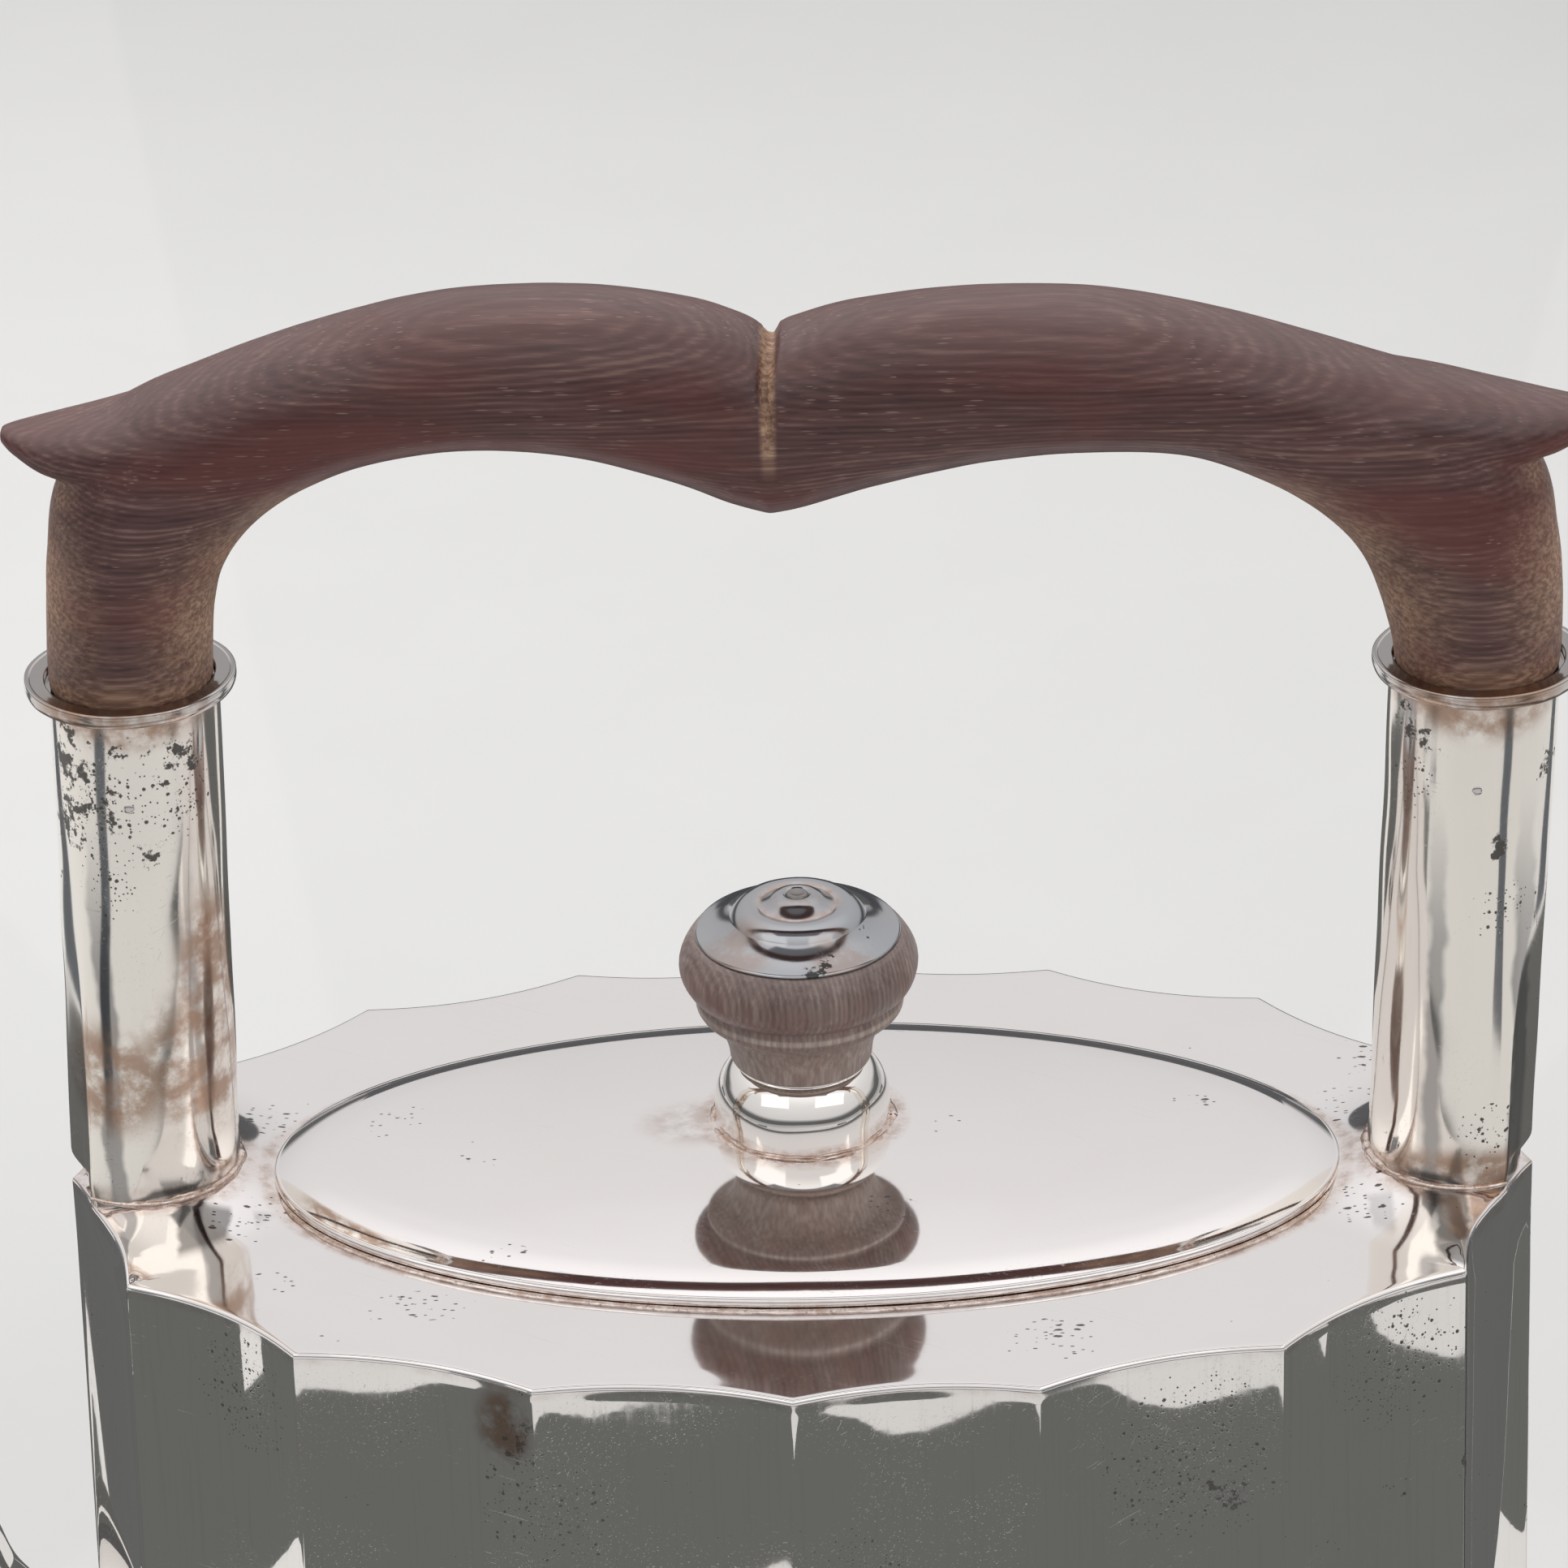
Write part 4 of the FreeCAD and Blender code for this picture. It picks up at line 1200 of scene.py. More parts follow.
def silver(name, rough, tint=SILVER, scratches=0.14, brushed=None, seams=None, grey=None, pit_share=0.3,
           pit_stretch=(1, 1, 1), pit_spots=(), crust_spots=(), stain_spots=(), stain=0.85):
    """Old polished silver. Each spot is (x, y, z, reach), or has a stretch after it. seams and
    grey are functions that give masks of the dirt along solder seams and of grey painted in as reflections of
    dark surroundings."""
    paint = Paint(name)
    cloud = paint.noise(16.0, 4.0)
    colour = paint.mix(paint.step(cloud, 0.35, 0.75, 0.0, 0.12), tint, YELLOWED)
    gloss = paint.step(cloud, 0.35, 0.7, 0.0, 0.02) + rough
    lines = paint.most([paint.streaks(*scratch) for scratch in SCRATCHES])
    worn = lines * paint.step(paint.noise(11.0), 0.42, 0.62, 0.15, 1.0)
    colour = paint.mix(worn * scratches, colour, DULL)
    gloss += worn * (scratches * 0.5)
    height = worn * (-0.5 * scratches)
    if seams:
        dirt = seams(paint)
        broken = dirt * paint.step(paint.noise(2.2, 6.0, 0.65), 0.42, 0.64)
        colour = paint.mix(dirt * 0.35, colour, PINK)
        colour = paint.mix(broken * 0.5, colour, BROWN)
        gloss += dirt * 0.08
    # the grey masks paint reflections of dark surroundings into the colour
    if grey:
        colour = paint.mix(grey(paint), colour, PAINTED_REFLECTION_GREY)
    if stain_spots:
        smear = paint.step(paint.around(stain_spots), 0.0, 0.6)
        smear *= paint.step(paint.noise(4.0, 6.0, 0.62), 0.34, 0.58)
        colour = paint.mix(smear * stain, colour, BROWN)
        gloss += smear * 0.10
    faint = paint.step(paint.noise(9.0, 4.0), 0.56, 0.72, 0.0, 0.74)
    field = paint.most([faint] + [paint.near(*spot) for spot in pit_spots])
    dark = paint.most([paint.pits(0.34, pit_share, field, pit_stretch),
                       paint.pits(0.17, pit_share * 1.1, field, pit_stretch)])
    if crust_spots:
        dark = paint.most([dark, paint.crust(1.3, paint.around(crust_spots))])
    colour = paint.mix(dark * 0.88, colour, BLACK)
    gloss += dark * 0.3
    height -= dark * 0.08
    if brushed:
        grain = paint.noise(0.5, 3.0, 0.6, paint.turned((0, 0, 0), brushed))
        gloss += paint.step(grain, 0.45, 0.75, 0.0, 0.02)
        colour = paint.mix(paint.step(grain, 0.5, 0.75, 0.0, 0.14), colour, DULL)
    skin_wave = paint.relief(paint.noise(3.4, 2.0, 0.45), 0.0028)
    return paint.finish(colour, gloss, paint.relief(height, 0.010, skin_wave))


def solder(name):
    """Run solder: pinkish, lumpy and half polished, with brown dirt in its hollows."""
    paint = Paint(name)
    cloud = paint.noise(1.6, 5.0, 0.65)
    colour = paint.mix(paint.step(cloud, 0.35, 0.65), (0.62, 0.47, 0.40), (0.90, 0.80, 0.74))
    hollows = paint.step(paint.noise(0.7, 4.0, 0.7), 0.56, 0.68, 0.0, 0.6)
    colour = paint.mix(hollows, colour, (0.24, 0.16, 0.12))
    gloss = paint.step(cloud, 0.3, 0.7, 0.34, 0.16)
    return paint.finish(colour, gloss, paint.relief(paint.noise(0.8, 4.0, 0.6), 0.05))


# the colours of each wood: its dark, middle and light layers, red patches, which gather on faces that look
# down as painted shade, faces that look up, bleached with a painted sheen, and bare worn wood, dark to light
HANDLE_COLOURS = {"dark": (0.034, 0.014, 0.013), "mid": (0.095, 0.046, 0.042), "light": (0.20, 0.115, 0.098),
                  "red": (0.115, 0.026, 0.022), "top": (0.150, 0.105, 0.100), "bare": (0.22, 0.12, 0.078),
                  "tan": (0.50, 0.325, 0.215)}
KNOB_COLOURS = {"dark": (0.115, 0.083, 0.073), "mid": (0.235, 0.18, 0.16), "light": (0.38, 0.31, 0.275),
                "red": (0.18, 0.075, 0.06), "top": (0.26, 0.215, 0.205), "bare": (0.33, 0.265, 0.235),
                "tan": (0.50, 0.42, 0.37)}
PORE = (0.38, 0.27, 0.22)
WIDE_LAYER = 2.3
NARROW_LAYER = 0.55


def wood(name, along, layers, wear, colours):
    """Close-grained hardwood. along is the index of the axis its fibres follow, layers the
    direction its growth layers are stacked in, wear a function giving the mask of bare worn wood.
    Faces that look up are bleached and carry a painted sheen; those that look down are redder and darker, a
    painted shade."""
    paint = Paint(name)

    def drawn(length, width):
        """A stretch that makes features of a width long along the fibres."""
        scale = [1.0, 1.0, 1.0]
        scale[along] = width / length
        return paint.turned((0, 0, 0), scale)

    warp = paint.noise(24.0, 2.0, 0.5, drawn(60.0, 24.0)) - 0.5
    fine = paint.noise(1.4, 3.0, 0.6, drawn(12.0, 1.4)) - 0.5
    depth = paint.vector("DOT_PRODUCT", paint.place, layers) * (1 / MM) + warp * 5.0 + fine * 0.6
    wide = paint.math("SINE", depth * (TURN / WIDE_LAYER))
    narrow = paint.math("SINE", depth * (TURN / NARROW_LAYER))
    rings = wide * 0.10 + narrow * 0.20
    fibres = paint.noise(0.42, 3.0, 0.6, drawn(7.0, 0.42))
    bands = paint.noise(5.0, 4.0, 0.6, drawn(40.0, 5.0))
    tone = rings * 0.5 + fibres * 0.75 + bands * 0.75
    colour = paint.mix(paint.step(tone, 0.42, 0.88), colours["dark"], colours["mid"])
    colour = paint.mix(paint.step(tone, 0.78, 1.1), colour, colours["light"])
    # faces that look up get a painted sheen along with bleaching; faces that look down get more of the red
    # patches as painted shade
    up = paint.facing_up()
    colour = paint.mix(paint.step(up, 0.25, 0.98, 0.0, 0.5), colour, colours["top"])
    patches = paint.step(paint.noise(9.0, 3.0, 0.5, drawn(30.0, 9.0)), 0.42, 0.66, 0.1, 0.8)
    colour = paint.mix(patches * paint.step(up, 0.8, -0.3, 0.25, 1.0), colour, colours["red"])
    distance, chance = paint.cells(0.26, drawn(2.6, 0.26))
    pore = paint.step(distance, 0.34, 0.16) * paint.step(chance, 0.62, 0.68)
    pore *= paint.step(paint.noise(7.0, 3.0, 0.5, drawn(18.0, 7.0)), 0.40, 0.66, 0.1, 0.8)
    colour = paint.mix(pore * 0.55, colour, PORE)
    mask = wear(paint)
    rubbed = paint.step(paint.noise(1.6, 5.0, 0.65, drawn(5.0, 1.6)), 0.28, 0.6, 0.6, 1.0)
    worn = paint.mix(paint.step(fibres, 0.35, 0.7), colours["bare"], colours["tan"])
    colour = paint.mix(mask * rubbed, colour, worn)
    gloss = paint.step(paint.noise(6.0, 4.0, 0.6), 0.3, 0.75, 0.38, 0.50) + mask * 0.14
    height = fibres * 0.6 + pore * -0.6 + narrow * 0.05
    paint.shader.inputs["Specular IOR Level"].default_value = 0.45
    return paint.finish(colour, gloss, paint.relief(height, 0.035), 0.0)


# ---- where the dirt, tarnish and wear are ----
def lid_line(paint):
    """Dirt along the joint between the lid and the deck."""
    return paint.line(paint.from_oval(LID_A, LID_B, LID_X, LID_Y) - 0.5, 0.8)


def round_line(x, y, radius, reach):
    """Dirt round an upright round foot."""
    def masks(paint):
        return paint.line(paint.from_oval(radius, radius, x, y), reach)
    return masks


def lid_seams(paint):
    """Dirt round the lid's edge and round the knob's foot."""
    return paint.most([lid_line(paint), round_line(KNOB_X, KNOB_Y, 9.8, 1.6)(paint)])


def deck_seams(paint):
    """Dirt on the deck round the lid and round both posts' feet."""
    masks = [lid_line(paint)]
    for side in (-1, 1):
        masks.append(round_line(post_axis(side, POST_FOOT), 0.0, 8.9, 2.4)(paint))
    return paint.most(masks)


def wavy_bands(paint, places, size, reach):
    """Wavy bands across X, each given as (middle, half width, share)."""
    along = paint.x + (paint.noise(size) - 0.5) * reach
    return paint.most([paint.step(abs(along - middle), half + 0.35, half - 0.35, 0.0, share)
                       for middle, half, share in places])


def shoulder_painted_reflections(paint):
    """A painted grey reflection that runs down the front of each raised shoulder, and a fainter one beside it.
    """
    front = paint.step(paint.y, -7.5, -9.0) * paint.step(paint.z, DECK + 0.05, DECK + 0.3)
    places = ((-60.6, 2.4, 0.9), (-54.0, 1.5, 0.4), (64.3, 1.7, 0.9), (57.6, 1.2, 0.35))
    return wavy_bands(paint, places, 5.0, 2.4) * front


def post_painted_reflections(side):
    """Wavy grey streaks down a post's front: painted reflections."""
    places = {-1: ((-69.4, 1.0, 0.8), (-60.8, 0.7, 0.6)), 1: ((71.4, 1.0, 0.8), (62.6, 0.7, 0.7))}[side]

    def masks(paint):
        front = paint.step(paint.y, -2.0, -4.0) * paint.step(paint.z, DECK + 48.0, DECK + 26.0)
        return wavy_bands(paint, places, 9.0, 3.0) * front
    return masks


def ring_top_painted_reflection(paint):
    """A painted dark reflection on the faces of the rings that look up."""
    return paint.step(paint.facing_up(), 0.8, 0.97, 0.0, 0.75)


def rim_seam(paint):
    """Dirt just below the rim."""
    return paint.step(paint.z, DECK - 1.6, DECK - 0.7, 0.0, 0.35)


def post_seams(paint):
    """Dirt at a post's foot and under its collar."""
    low = paint.step(paint.z, DECK + 4.6, DECK + 2.0)
    high = paint.step(paint.z, POST_TOP - 3.2, POST_TOP - 0.2)
    return paint.most([low, high])


def drum_seam(paint):
    """Dirt at the foot of the knob's ferrule."""
    return paint.step(paint.z, KNOB_FOOT + 1.6, KNOB_FOOT + 0.4)


def handle_wear(paint):
    """Bare wood in the notch, down the legs' sides, round the feet and under the beaks."""
    notch = paint.step(abs(paint.x - (NOTCH_X + 0.15)), 1.0, 0.25)
    masks = [notch * paint.step(paint.z, DECK + 79.0, DECK + 84.0)]
    for side in (-1, 1):
        x = post_axis(side, POST_TOP)
        masks.append(paint.around([
            (x + side * 8.8, -1.0, DECK + 67.0, 15.0, (1.3, 1.0, 1.0)),
            (x - side * 8.6, -1.0, DECK + 64.0, 14.0, (1.3, 1.0, 1.0)),
            (x - side * 12.5, -2.0, DECK + 71.0, 11.0, (1.0, 1.0, 1.3)),
            (x - side * 19.0, -2.0, DECK + 76.0, 9.5, (0.7, 1.0, 1.6)),
            (x + side * 7.5, -4.0, DECK + 78.2, 4.8, (0.8, 0.8, 1.4)),
        ]))
    foot = paint.step(paint.z, DECK + 61.0, DECK + 57.2) * 0.7
    return paint.most(masks + [foot])


def knob_wear(paint):
    """Greyed wood low on the knob, and a pale line along its bead."""
    low = paint.step(paint.z, KNOB_FOOT + 18, KNOB_FOOT + 9) * 0.7
    return paint.most([low, paint.step(abs(paint.z - (KNOB_FOOT + 14.6)), 0.55, 0.1)])


# ---- the silver of each piece ----
def wall_silver():
    """The wall and spout: worn mirror-bright, drawn fine lines upwards, pitted in patches."""
    return silver(
        "wall_silver", 0.015, scratches=0.2, brushed=(1.0, 1.0, 0.02), seams=rim_seam, pit_share=0.6,
        pit_spots=[(-25, -41, DECK - 14, 13), (38, -37, DECK - 12, 17), (60, -28, DECK - 8, 15),
                   (-56, -30, DECK - 8, 12), (5, -44, DECK - 22, 12), (68, 12, DECK - 20, 18),
                   (-30, 40, DECK - 25, 18)],
        crust_spots=[(40, -37, DECK - 16, 9, (1, 1, 1.6)), (-27, -41, DECK - 6, 5.5),
                     (66, -20, DECK - 24, 8)],
        stain_spots=[(-29, -40, DECK - 5, 6, (1.4, 1, 1))])


def deck_silver():
    """The deck: pitted round the posts' feet and in front of the lid, with painted grey reflections down its
    raised shoulders.
    """
    return silver(
        "deck_silver", 0.05, tint=(0.945, 0.92, 0.91), seams=deck_seams, grey=shoulder_painted_reflections,
        pit_share=0.42, pit_stretch=(0.45, 1.0, 1.0),
        pit_spots=[(-38, -26, DECK, 15, (1, 2, 1)), (-57, 10, DECK, 11), (-57, -9, DECK, 11),
                   (57, -8, DECK, 12), (56, 11, DECK, 11), (24, -33, DECK, 11), (58, 22, DECK, 10),
                   (-10, 38, DECK, 10)])


def lid_silver():
    """The lid: a few patches of pits, and a faint stain beside the knob."""
    high = DECK + 2
    return silver(
        "lid_silver", 0.045, tint=(0.94, 0.915, 0.905), seams=lid_seams, pit_share=0.32,
        pit_stretch=(0.5, 1.0, 1.0),
        pit_spots=[(-42, 6, high, 11), (-33, -2, high, 9), (8, -14, high, 10), (-30, -20, high, 9, (1, 2, 1)),
                   (40, 8, high, 8), (14, 2, DECK + 3, 6)],
        stain_spots=[(-11.5, 3, DECK + 3, 6.5, (0.8, 1, 1))], stain=0.36)


POST_TINT = (0.92, 0.875, 0.81)


def left_post_silver():
    """The left post: thick crust under its ring, brown stains low down, painted grey reflections down its
    front.
    """
    return silver(
        "left_post_silver", 0.075, tint=POST_TINT, scratches=0.25, seams=post_seams, grey=post_painted_reflections(-1),
        pit_share=0.5,
        pit_spots=[(-69, -8, DECK + 46, 12), (-61, -7, DECK + 47, 10), (-68, -8, DECK + 38, 8),
                   (-74, 4, DECK + 44, 9)],
        crust_spots=[(-71.0, -6, DECK + 50, 10.0), (-68.5, -8, DECK + 46, 8.0),
                     (-60.5, -6, DECK + 50, 8.5, (1.1, 1, 0.8)), (-72, -5, DECK + 44, 8),
                     (-63.5, -8, DECK + 41, 4), (-66, -8, DECK + 52, 6, (1, 1, 1.6))],
        stain_spots=[(-59.5, -5, DECK + 17, 14, (1.1, 1, 1.1)), (-70, -7, DECK + 16, 11, (1, 1, 1.2)),
                     (-59, -4, DECK + 26, 10, (1.8, 1, 0.7)), (-65, -8, POST_TOP, 11, (1, 1, 2.4))])


def right_post_silver():
    """The right post: small marks of crust, brown under its ring and at its foot, painted grey reflections
    down its front.
    """
    return silver(
        "right_post_silver", 0.075, tint=POST_TINT, scratches=0.25, seams=post_seams, grey=post_painted_reflections(1),
        pit_share=0.4,
        pit_spots=[(60, -6, DECK + 46, 9), (69, -8, DECK + 33, 8), (68, -8, DECK + 8, 9),
                   (74, 0, DECK + 30, 14)],
        crust_spots=[(59.5, -5, DECK + 51, 6.5), (68, -8, DECK + 8, 4.4),
                     (68.5, -8, DECK + 40, 3.4, (2, 1, 0.6)), (73, -4, DECK + 47, 5),
                     (59.5, -6, DECK + 6, 4.0)],
        stain_spots=[(67, -8, POST_TOP, 12, (1, 1, 2.0)), (66, -8, DECK + 3, 8, (0.6, 1, 1.6))])


def ring_silver():
    """The rings on the posts: dull, painted darker on top as a dark reflection, and brown in front."""
    return silver("ring_silver", 0.12, tint=(0.74, 0.705, 0.68), grey=ring_top_painted_reflection, pit_share=0.34,
                  stain_spots=[(side * 66, -9, POST_TOP, 9, (0.7, 1, 1)) for side in (-1, 1)])


def trim_silver():
    """The small fittings, the hinge and the foot rim."""
    return silver("trim_silver", 0.13, tint=(0.66, 0.635, 0.615), pit_share=0.34,
                  pit_spots=[(side * 66, -8, POST_TOP, 12) for side in (-1, 1)])


def cap_silver():
    """The knob's cap: tinted dark and bluish as a painted dark reflection, mottled with brown."""
    return silver(
        "cap_silver", 0.11, tint=(0.45, 0.465, 0.49), seams=round_line(KNOB_X, KNOB_Y, 3.9, 0.9),
        pit_spots=[(KNOB_X + 7, KNOB_Y - 3, DECK + 26, 5)],
        crust_spots=[(KNOB_X + 2, KNOB_Y - 8.5, DECK + 25.5, 5)],
        stain_spots=[(KNOB_X - 6, KNOB_Y - 6, DECK + 26, 6), (KNOB_X + 5, KNOB_Y - 8, DECK + 26, 5.5),
                     (KNOB_X, KNOB_Y, DECK + 29.4, 4.6)], stain=0.42)


# ---- the pieces ----
def dress():
    """Builds every piece and gives it its body, material and CAD nodes."""
    outline, edges, rises = fluted_outline()
    bright = wall_silver()
    deck = deck_silver()
    lid = lid_silver()
    posts = {-1: left_post_silver(), 1: right_post_silver()}
    ring = ring_silver()
    trim = trim_silver()
    cap = cap_silver()
    rivet = silver("rivet_silver", 0.3, tint=(0.30, 0.28, 0.27))
    drum = silver("drum_silver", 0.045, seams=drum_seam, pit_share=0.2)
    inner = silver("inner_silver", 0.2, tint=(0.70, 0.66, 0.62), stain_spots=[(0, 0, 50, 90)])
    seam = solder("seam_solder")
    handle_wood = wood("handle_wood", 0, (0.0, -0.5, 0.87), handle_wear, HANDLE_COLOURS)
    knob_wood = wood("knob_wood", 2, (0.9, 0.4, 0.0), knob_wear, KNOB_COLOURS)

    place(build_wall(outline, edges, rises), "pot", "silver", bright, "body_wall")
    place(build_base(outline), "pot", "silver", inner, "base_plate")
    place(build_foot_rim(outline), "pot", "silver", trim, "foot_rim")
    place(build_deck(outline, edges, rises), "pot", "silver", deck, "deck_plate")
    place(build_bezel(), "pot", "solder", seam, "lid_bezel")
    place(build_spout(), "pot", "silver", bright, "spout")
    place(build_spout_seam(), "pot", "solder", seam, "spout_seam")
    for side, word in ((-1, "left"), (1, "right")):
        place(build_post(side, "post_tube_" + word), "pot", "silver", posts[side], "post_" + word)
        place(build_post_seam(side, "post_solder_" + word), "pot", "solder", seam, "post_seam_" + word)
        place(build_collar(side, "post_ring_" + word), "pot", "silver", ring, "post_collar_" + word)
        place(build_collar_seam(side, "ring_solder_" + word), "pot", "solder", seam)
        place(build_cross_pin(side, "cross_pin_" + word), "pot", "silver", trim, "handle_pin_" + word)
    place(build_handle(), "pot", "handle_wood", handle_wood, "handle")
    knuckles, lid_knuckle, pin, leaf, strap = build_hinge()
    place(knuckles, "pot", "silver", trim, "pot_hinge_knuckles")
    place(leaf, "pot", "silver", trim, "pot_hinge_plate")
    place(pin, "pot", "silver", trim, "hinge_pin")
    place(lid_knuckle, "lid", "silver", trim, "lid_hinge_knuckle")
    place(strap, "lid", "silver", trim, "lid_hinge_strap")
    place(build_lid(), "lid", "silver", lid, "lid_plate")
    foot_drum, turning, cap_disc, knob_rivet, knob_solder = build_knob()
    place(knob_solder, "lid", "solder", seam, "knob_seam")
    place(foot_drum, "lid", "silver", drum, "knob_ferrule")
    place(turning, "lid", "knob_wood", knob_wood, "knob_wood")
    place(cap_disc, "lid", "silver", cap, "knob_cap")
    place(knob_rivet, "lid", "silver", rivet, "knob_stud")
    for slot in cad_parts["lid_flange"].material_slots:
        slot.material = inner


# ---- studio ----
def panel(name, corners, glow):
    """A flat staged card that only shows in reflections."""
    mesh = bpy.data.meshes.new(name)
    mesh.from_pydata([(x * MM, y * MM, z * MM) for x, y, z in corners], [], [tuple(range(len(corners)))])
    card = add_object(name, mesh)
    material = bpy.data.materials.new(name)
    material.use_nodes = True
    shader = material.node_tree.nodes["Principled BSDF"]
    shader.inputs["Base Color"].default_value = (0, 0, 0, 1)
    shader.inputs["Specular IOR Level"].default_value = 0.0
    shader.inputs["Emission Color"].default_value = (*glow, 1)
    shader.inputs["Emission Strength"].default_value = 1.0
    mesh.materials.append(material)
    card.visible_camera = False
    card.visible_diffuse = False
    card.visible_shadow = False
    card.visible_transmission = False


FLOOR_HALF = 6.0
FLOOR_DROP = 0.0002


def build_floor():
    """Plain pale floor, in metres."""
    mesh = bpy.data.meshes.new("floor")
    corners = [(x * FLOOR_HALF, y * FLOOR_HALF, -FLOOR_DROP) for x, y in ((-1, -1), (1, -1), (1, 1), (-1, 1))]
    mesh.from_pydata(corners, [], [(0, 1, 2, 3)])
    floor = add_object("floor", mesh)
    paint = Paint("floor_paint")
    tone = paint.mix(paint.noise(40.0, 4.0), (0.60, 0.595, 0.585), (0.63, 0.625, 0.615))
    paint.feed(paint.shader.inputs["Base Color"], tone)
    paint.shader.inputs["Roughness"].default_value = 0.8
    mesh.materials.append(paint.material)


LAMP_AIM = (0, 0, 0.12)


def softbox(name, spot, width, height, power):
    """A rectangular lamp aimed at the pot, in metres and watts. Silver doesn't reflect it."""
    lamp = bpy.data.lights.new(name, "AREA")
    lamp.shape = "RECTANGLE"
    lamp.size = width
    lamp.size_y = height
    lamp.energy = power
    holder = add_object(name, lamp)
    holder.location = spot
    holder.rotation_euler = (Vector(LAMP_AIM) - Vector(spot)).to_track_quat("-Z", "Y").to_euler()
    holder.visible_camera = False
    holder.visible_glossy = False


ROOM = (0.52, 0.52, 0.53, 1)
# the tent's brightness that silver sees, by share of the way from level to straight up
TENT = [(0.0, 0.12), (0.10, 0.12), (0.20, 0.66), (0.40, 0.72), (0.60, 0.78), (0.80, 0.95), (1.0, 1.1)]
TENT_COOL = 0.982


def build_world():
    """A pale room for the floor and the wood, and a bright tent with a dark low band for the silver."""
    world = bpy.data.worlds.new("tent")
    bpy.context.scene.world = world
    world.use_nodes = True
    nodes = world.node_tree.nodes
    links = world.node_tree.links
    split = nodes.new("ShaderNodeSeparateXYZ")
    links.new(nodes.new("ShaderNodeTexCoord").outputs["Generated"], split.inputs[0])
    ramp = nodes.new("ShaderNodeValToRGB")
    links.new(split.outputs["Z"], ramp.inputs[0])
    elements = ramp.color_ramp.elements
    elements[0].position = TENT[0][0]
    elements[1].position = TENT[-1][0]
    for position, _ in TENT[1:-1]:
        elements.new(position)
    for element, (_, level) in zip(elements, TENT):
        element.color = (level, level * TENT_COOL, level * TENT_COOL, 1)
    shade = nodes.new("ShaderNodeMix")
    shade.data_type = "RGBA"
    links.new(nodes.new("ShaderNodeLightPath").outputs["Is Glossy Ray"], shade.inputs[0])
    shade.inputs[6].default_value = ROOM
    links.new(ramp.outputs[0], shade.inputs[7])
    links.new(shade.outputs[2], nodes["Background"].inputs["Color"])


DARK = (0.135, 0.138, 0.134)
BACK_DARK = (0.125, 0.127, 0.125)
MIDDLE = (0.0, 0.0)
LEFT_OF_MIDDLE = (-6.0, 0.0)
# flat cards between two ovals: (name, inner half axes, outer half axes, first and last bearing,
# height, glow, centre)
RING_CARDS = [
    ("front_card", (150, 150), (226, 192), 190, 352, 0.3, DARK, LEFT_OF_MIDDLE),
    ("left_front_card", (180, 170), (262, 216), 190, 224, 0.25, DARK, MIDDLE),
    ("left_card", (150, 150), (194, 194), 182, 190, 0.25, DARK, LEFT_OF_MIDDLE),
    ("right_card", (150, 150), (206, 206), -8, -2, 0.25, DARK, LEFT_OF_MIDDLE),
    ("left_side_card", (150, 150), (236, 236), 163, 182, 0.25, DARK, LEFT_OF_MIDDLE),
    ("right_side_card", (150, 150), (236, 236), -2, 17, 0.25, DARK, LEFT_OF_MIDDLE),
    ("back_right_card", (112, 118), (262, 270), 17, 62, 0.3, BACK_DARK, MIDDLE),
    ("back_card", (112, 118), (600, 1500), 62, 118, 0.3, BACK_DARK, MIDDLE),
    ("back_left_card", (112, 118), (262, 270), 118, 163, 0.3, BACK_DARK, MIDDLE),
]
# bearing of each side's two soft strips, from straight ahead, and their measures
STRIP_TURNS = (50, 128)
STRIP_START, STRIP_END, STRIP_HALF, STRIP_WIDEN = 270, 900, 26, 4


def ring_card(name, inner, outer, start, end, height, glow, centre):
    """A flat card between two ovals, from one bearing to another in degrees, 0 at +X."""
    steps = 48
    corners = []
    for (a, b), order in ((outer, range(steps + 1)), (inner, range(steps, -1, -1))):
        for i in order:
            angle = math.radians(start + (end - start) * i / steps)
            corners.append((centre[0] + a * math.cos(angle), centre[1] + b * math.sin(angle), height))
    panel(name, corners, glow)


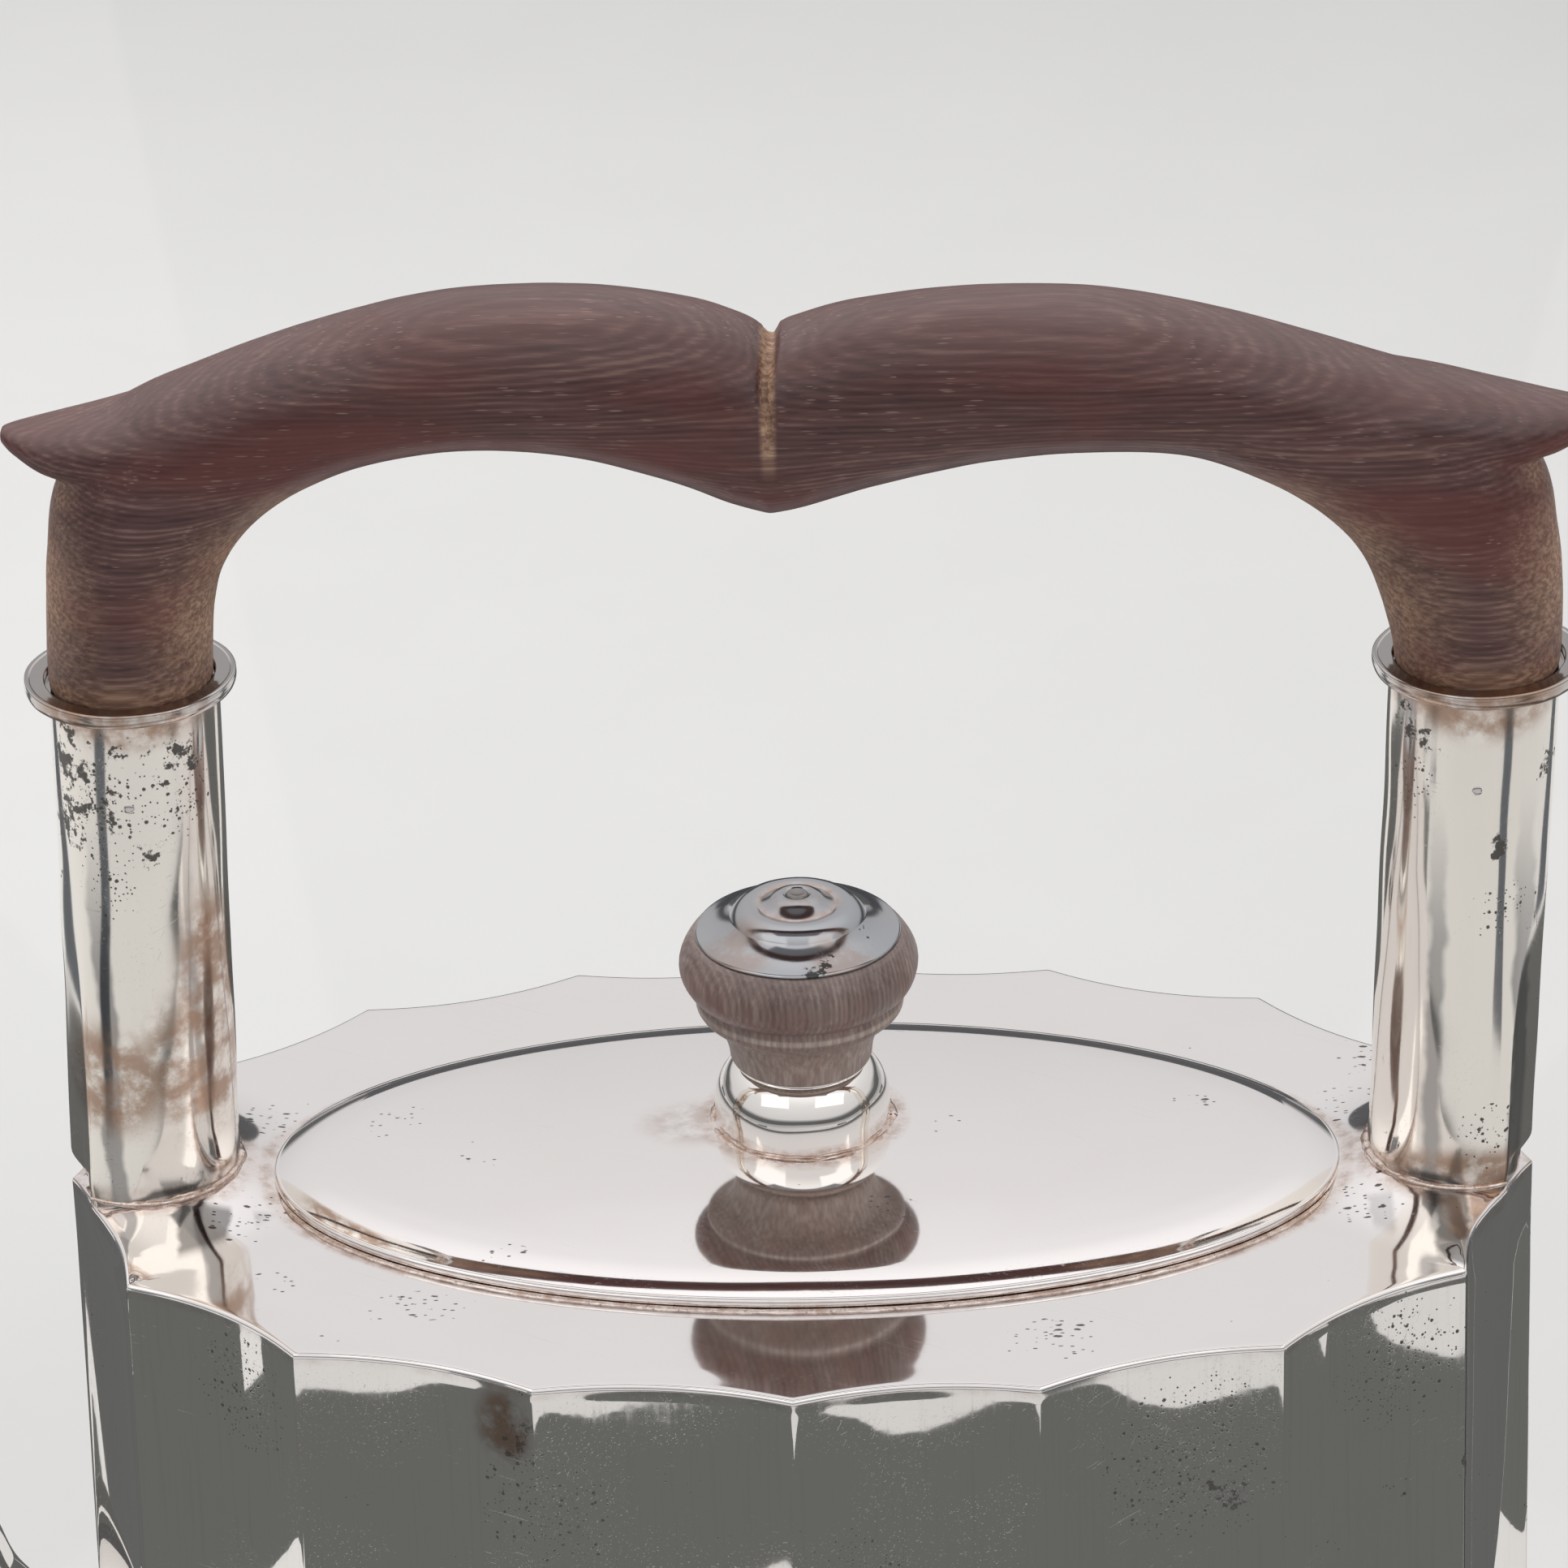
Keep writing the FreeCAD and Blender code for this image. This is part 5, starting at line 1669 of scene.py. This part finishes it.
def build_cards():
    """What silver sees besides the pale floor and the tent: dark ground all round, a dark backdrop
    far behind, a dark strip of ceiling, bright windows high at both sides, and soft dark strips."""
    for card in RING_CARDS:
        ring_card(*card)
    backdrop = [(-350, 1500, 0), (350, 1500, 0), (350, 1500, 430), (-350, 1500, 430)]
    panel("backdrop_card", backdrop, (0.10, 0.10, 0.105))
    ceiling = [(-420, -330, 950), (420, -330, 950), (420, -60, 950), (-420, -60, 950)]
    panel("ceiling_card", ceiling, (0.22, 0.22, 0.23))
    window = [(260, -700, 620), (900, -500, 620), (900, -200, 1000), (260, -350, 1100)]
    for side in (-1, 1):
        panel("window_card_%d" % side, [(side * x, y, z) for x, y, z in window], (1.2, 1.18, 1.16))
        for turn in STRIP_TURNS:
            angle = math.radians(turn)
            out = Vector((side * math.sin(angle), -math.cos(angle), 0))
            across = Vector((-out.y, out.x, 0)) * STRIP_HALF
            corners = [out * STRIP_START - across, out * STRIP_START + across,
                       out * STRIP_END + across * STRIP_WIDEN, out * STRIP_END - across * STRIP_WIDEN]
            panel("strip_card_%d_%d" % (side, turn), [(p.x, p.y, 0.4) for p in corners], (0.12, 0.13, 0.145))


# the photograph's view
AZIMUTH = math.radians(1.8)
ELEVATION = math.radians(26.6)
ROLL = math.radians(-1.6)
DISTANCE = 623.2
LENS = 144.6
TARGET = (-1.476, 0, DECK + 43.87)


def build_camera():
    """The camera at the photograph's angle, with its slight roll."""
    level = math.cos(ELEVATION)
    away = Vector((math.sin(AZIMUTH) * level, -math.cos(AZIMUTH) * level, math.sin(ELEVATION)))
    right = (-away).cross(Vector((0, 0, 1))).normalized()
    up = right.cross(-away)
    right_rolled = right * math.cos(ROLL) + up * math.sin(ROLL)
    up_rolled = up * math.cos(ROLL) - right * math.sin(ROLL)
    data = bpy.data.cameras.new("camera")
    data.lens = LENS
    data.clip_start = 0.01
    data.clip_end = 100
    camera = add_object("camera", data)
    turn = Matrix((right_rolled, up_rolled, away)).transposed().to_4x4()
    camera.matrix_world = Matrix.Translation((Vector(TARGET) + away * DISTANCE) * MM) @ turn
    bpy.context.scene.camera = camera


build_camera()
build_floor()
build_world()
build_cards()
softbox("key", (-0.5, 0.25, 0.9), 0.5, 0.5, 5.0)
softbox("fill", (0.7, -0.7, 0.7), 0.6, 0.6, 3.0)
softbox("top_light", (0.0, 0.5, 0.8), 0.7, 0.3, 3.0)
dress()
bpy.context.scene.view_settings.view_transform = "Standard"
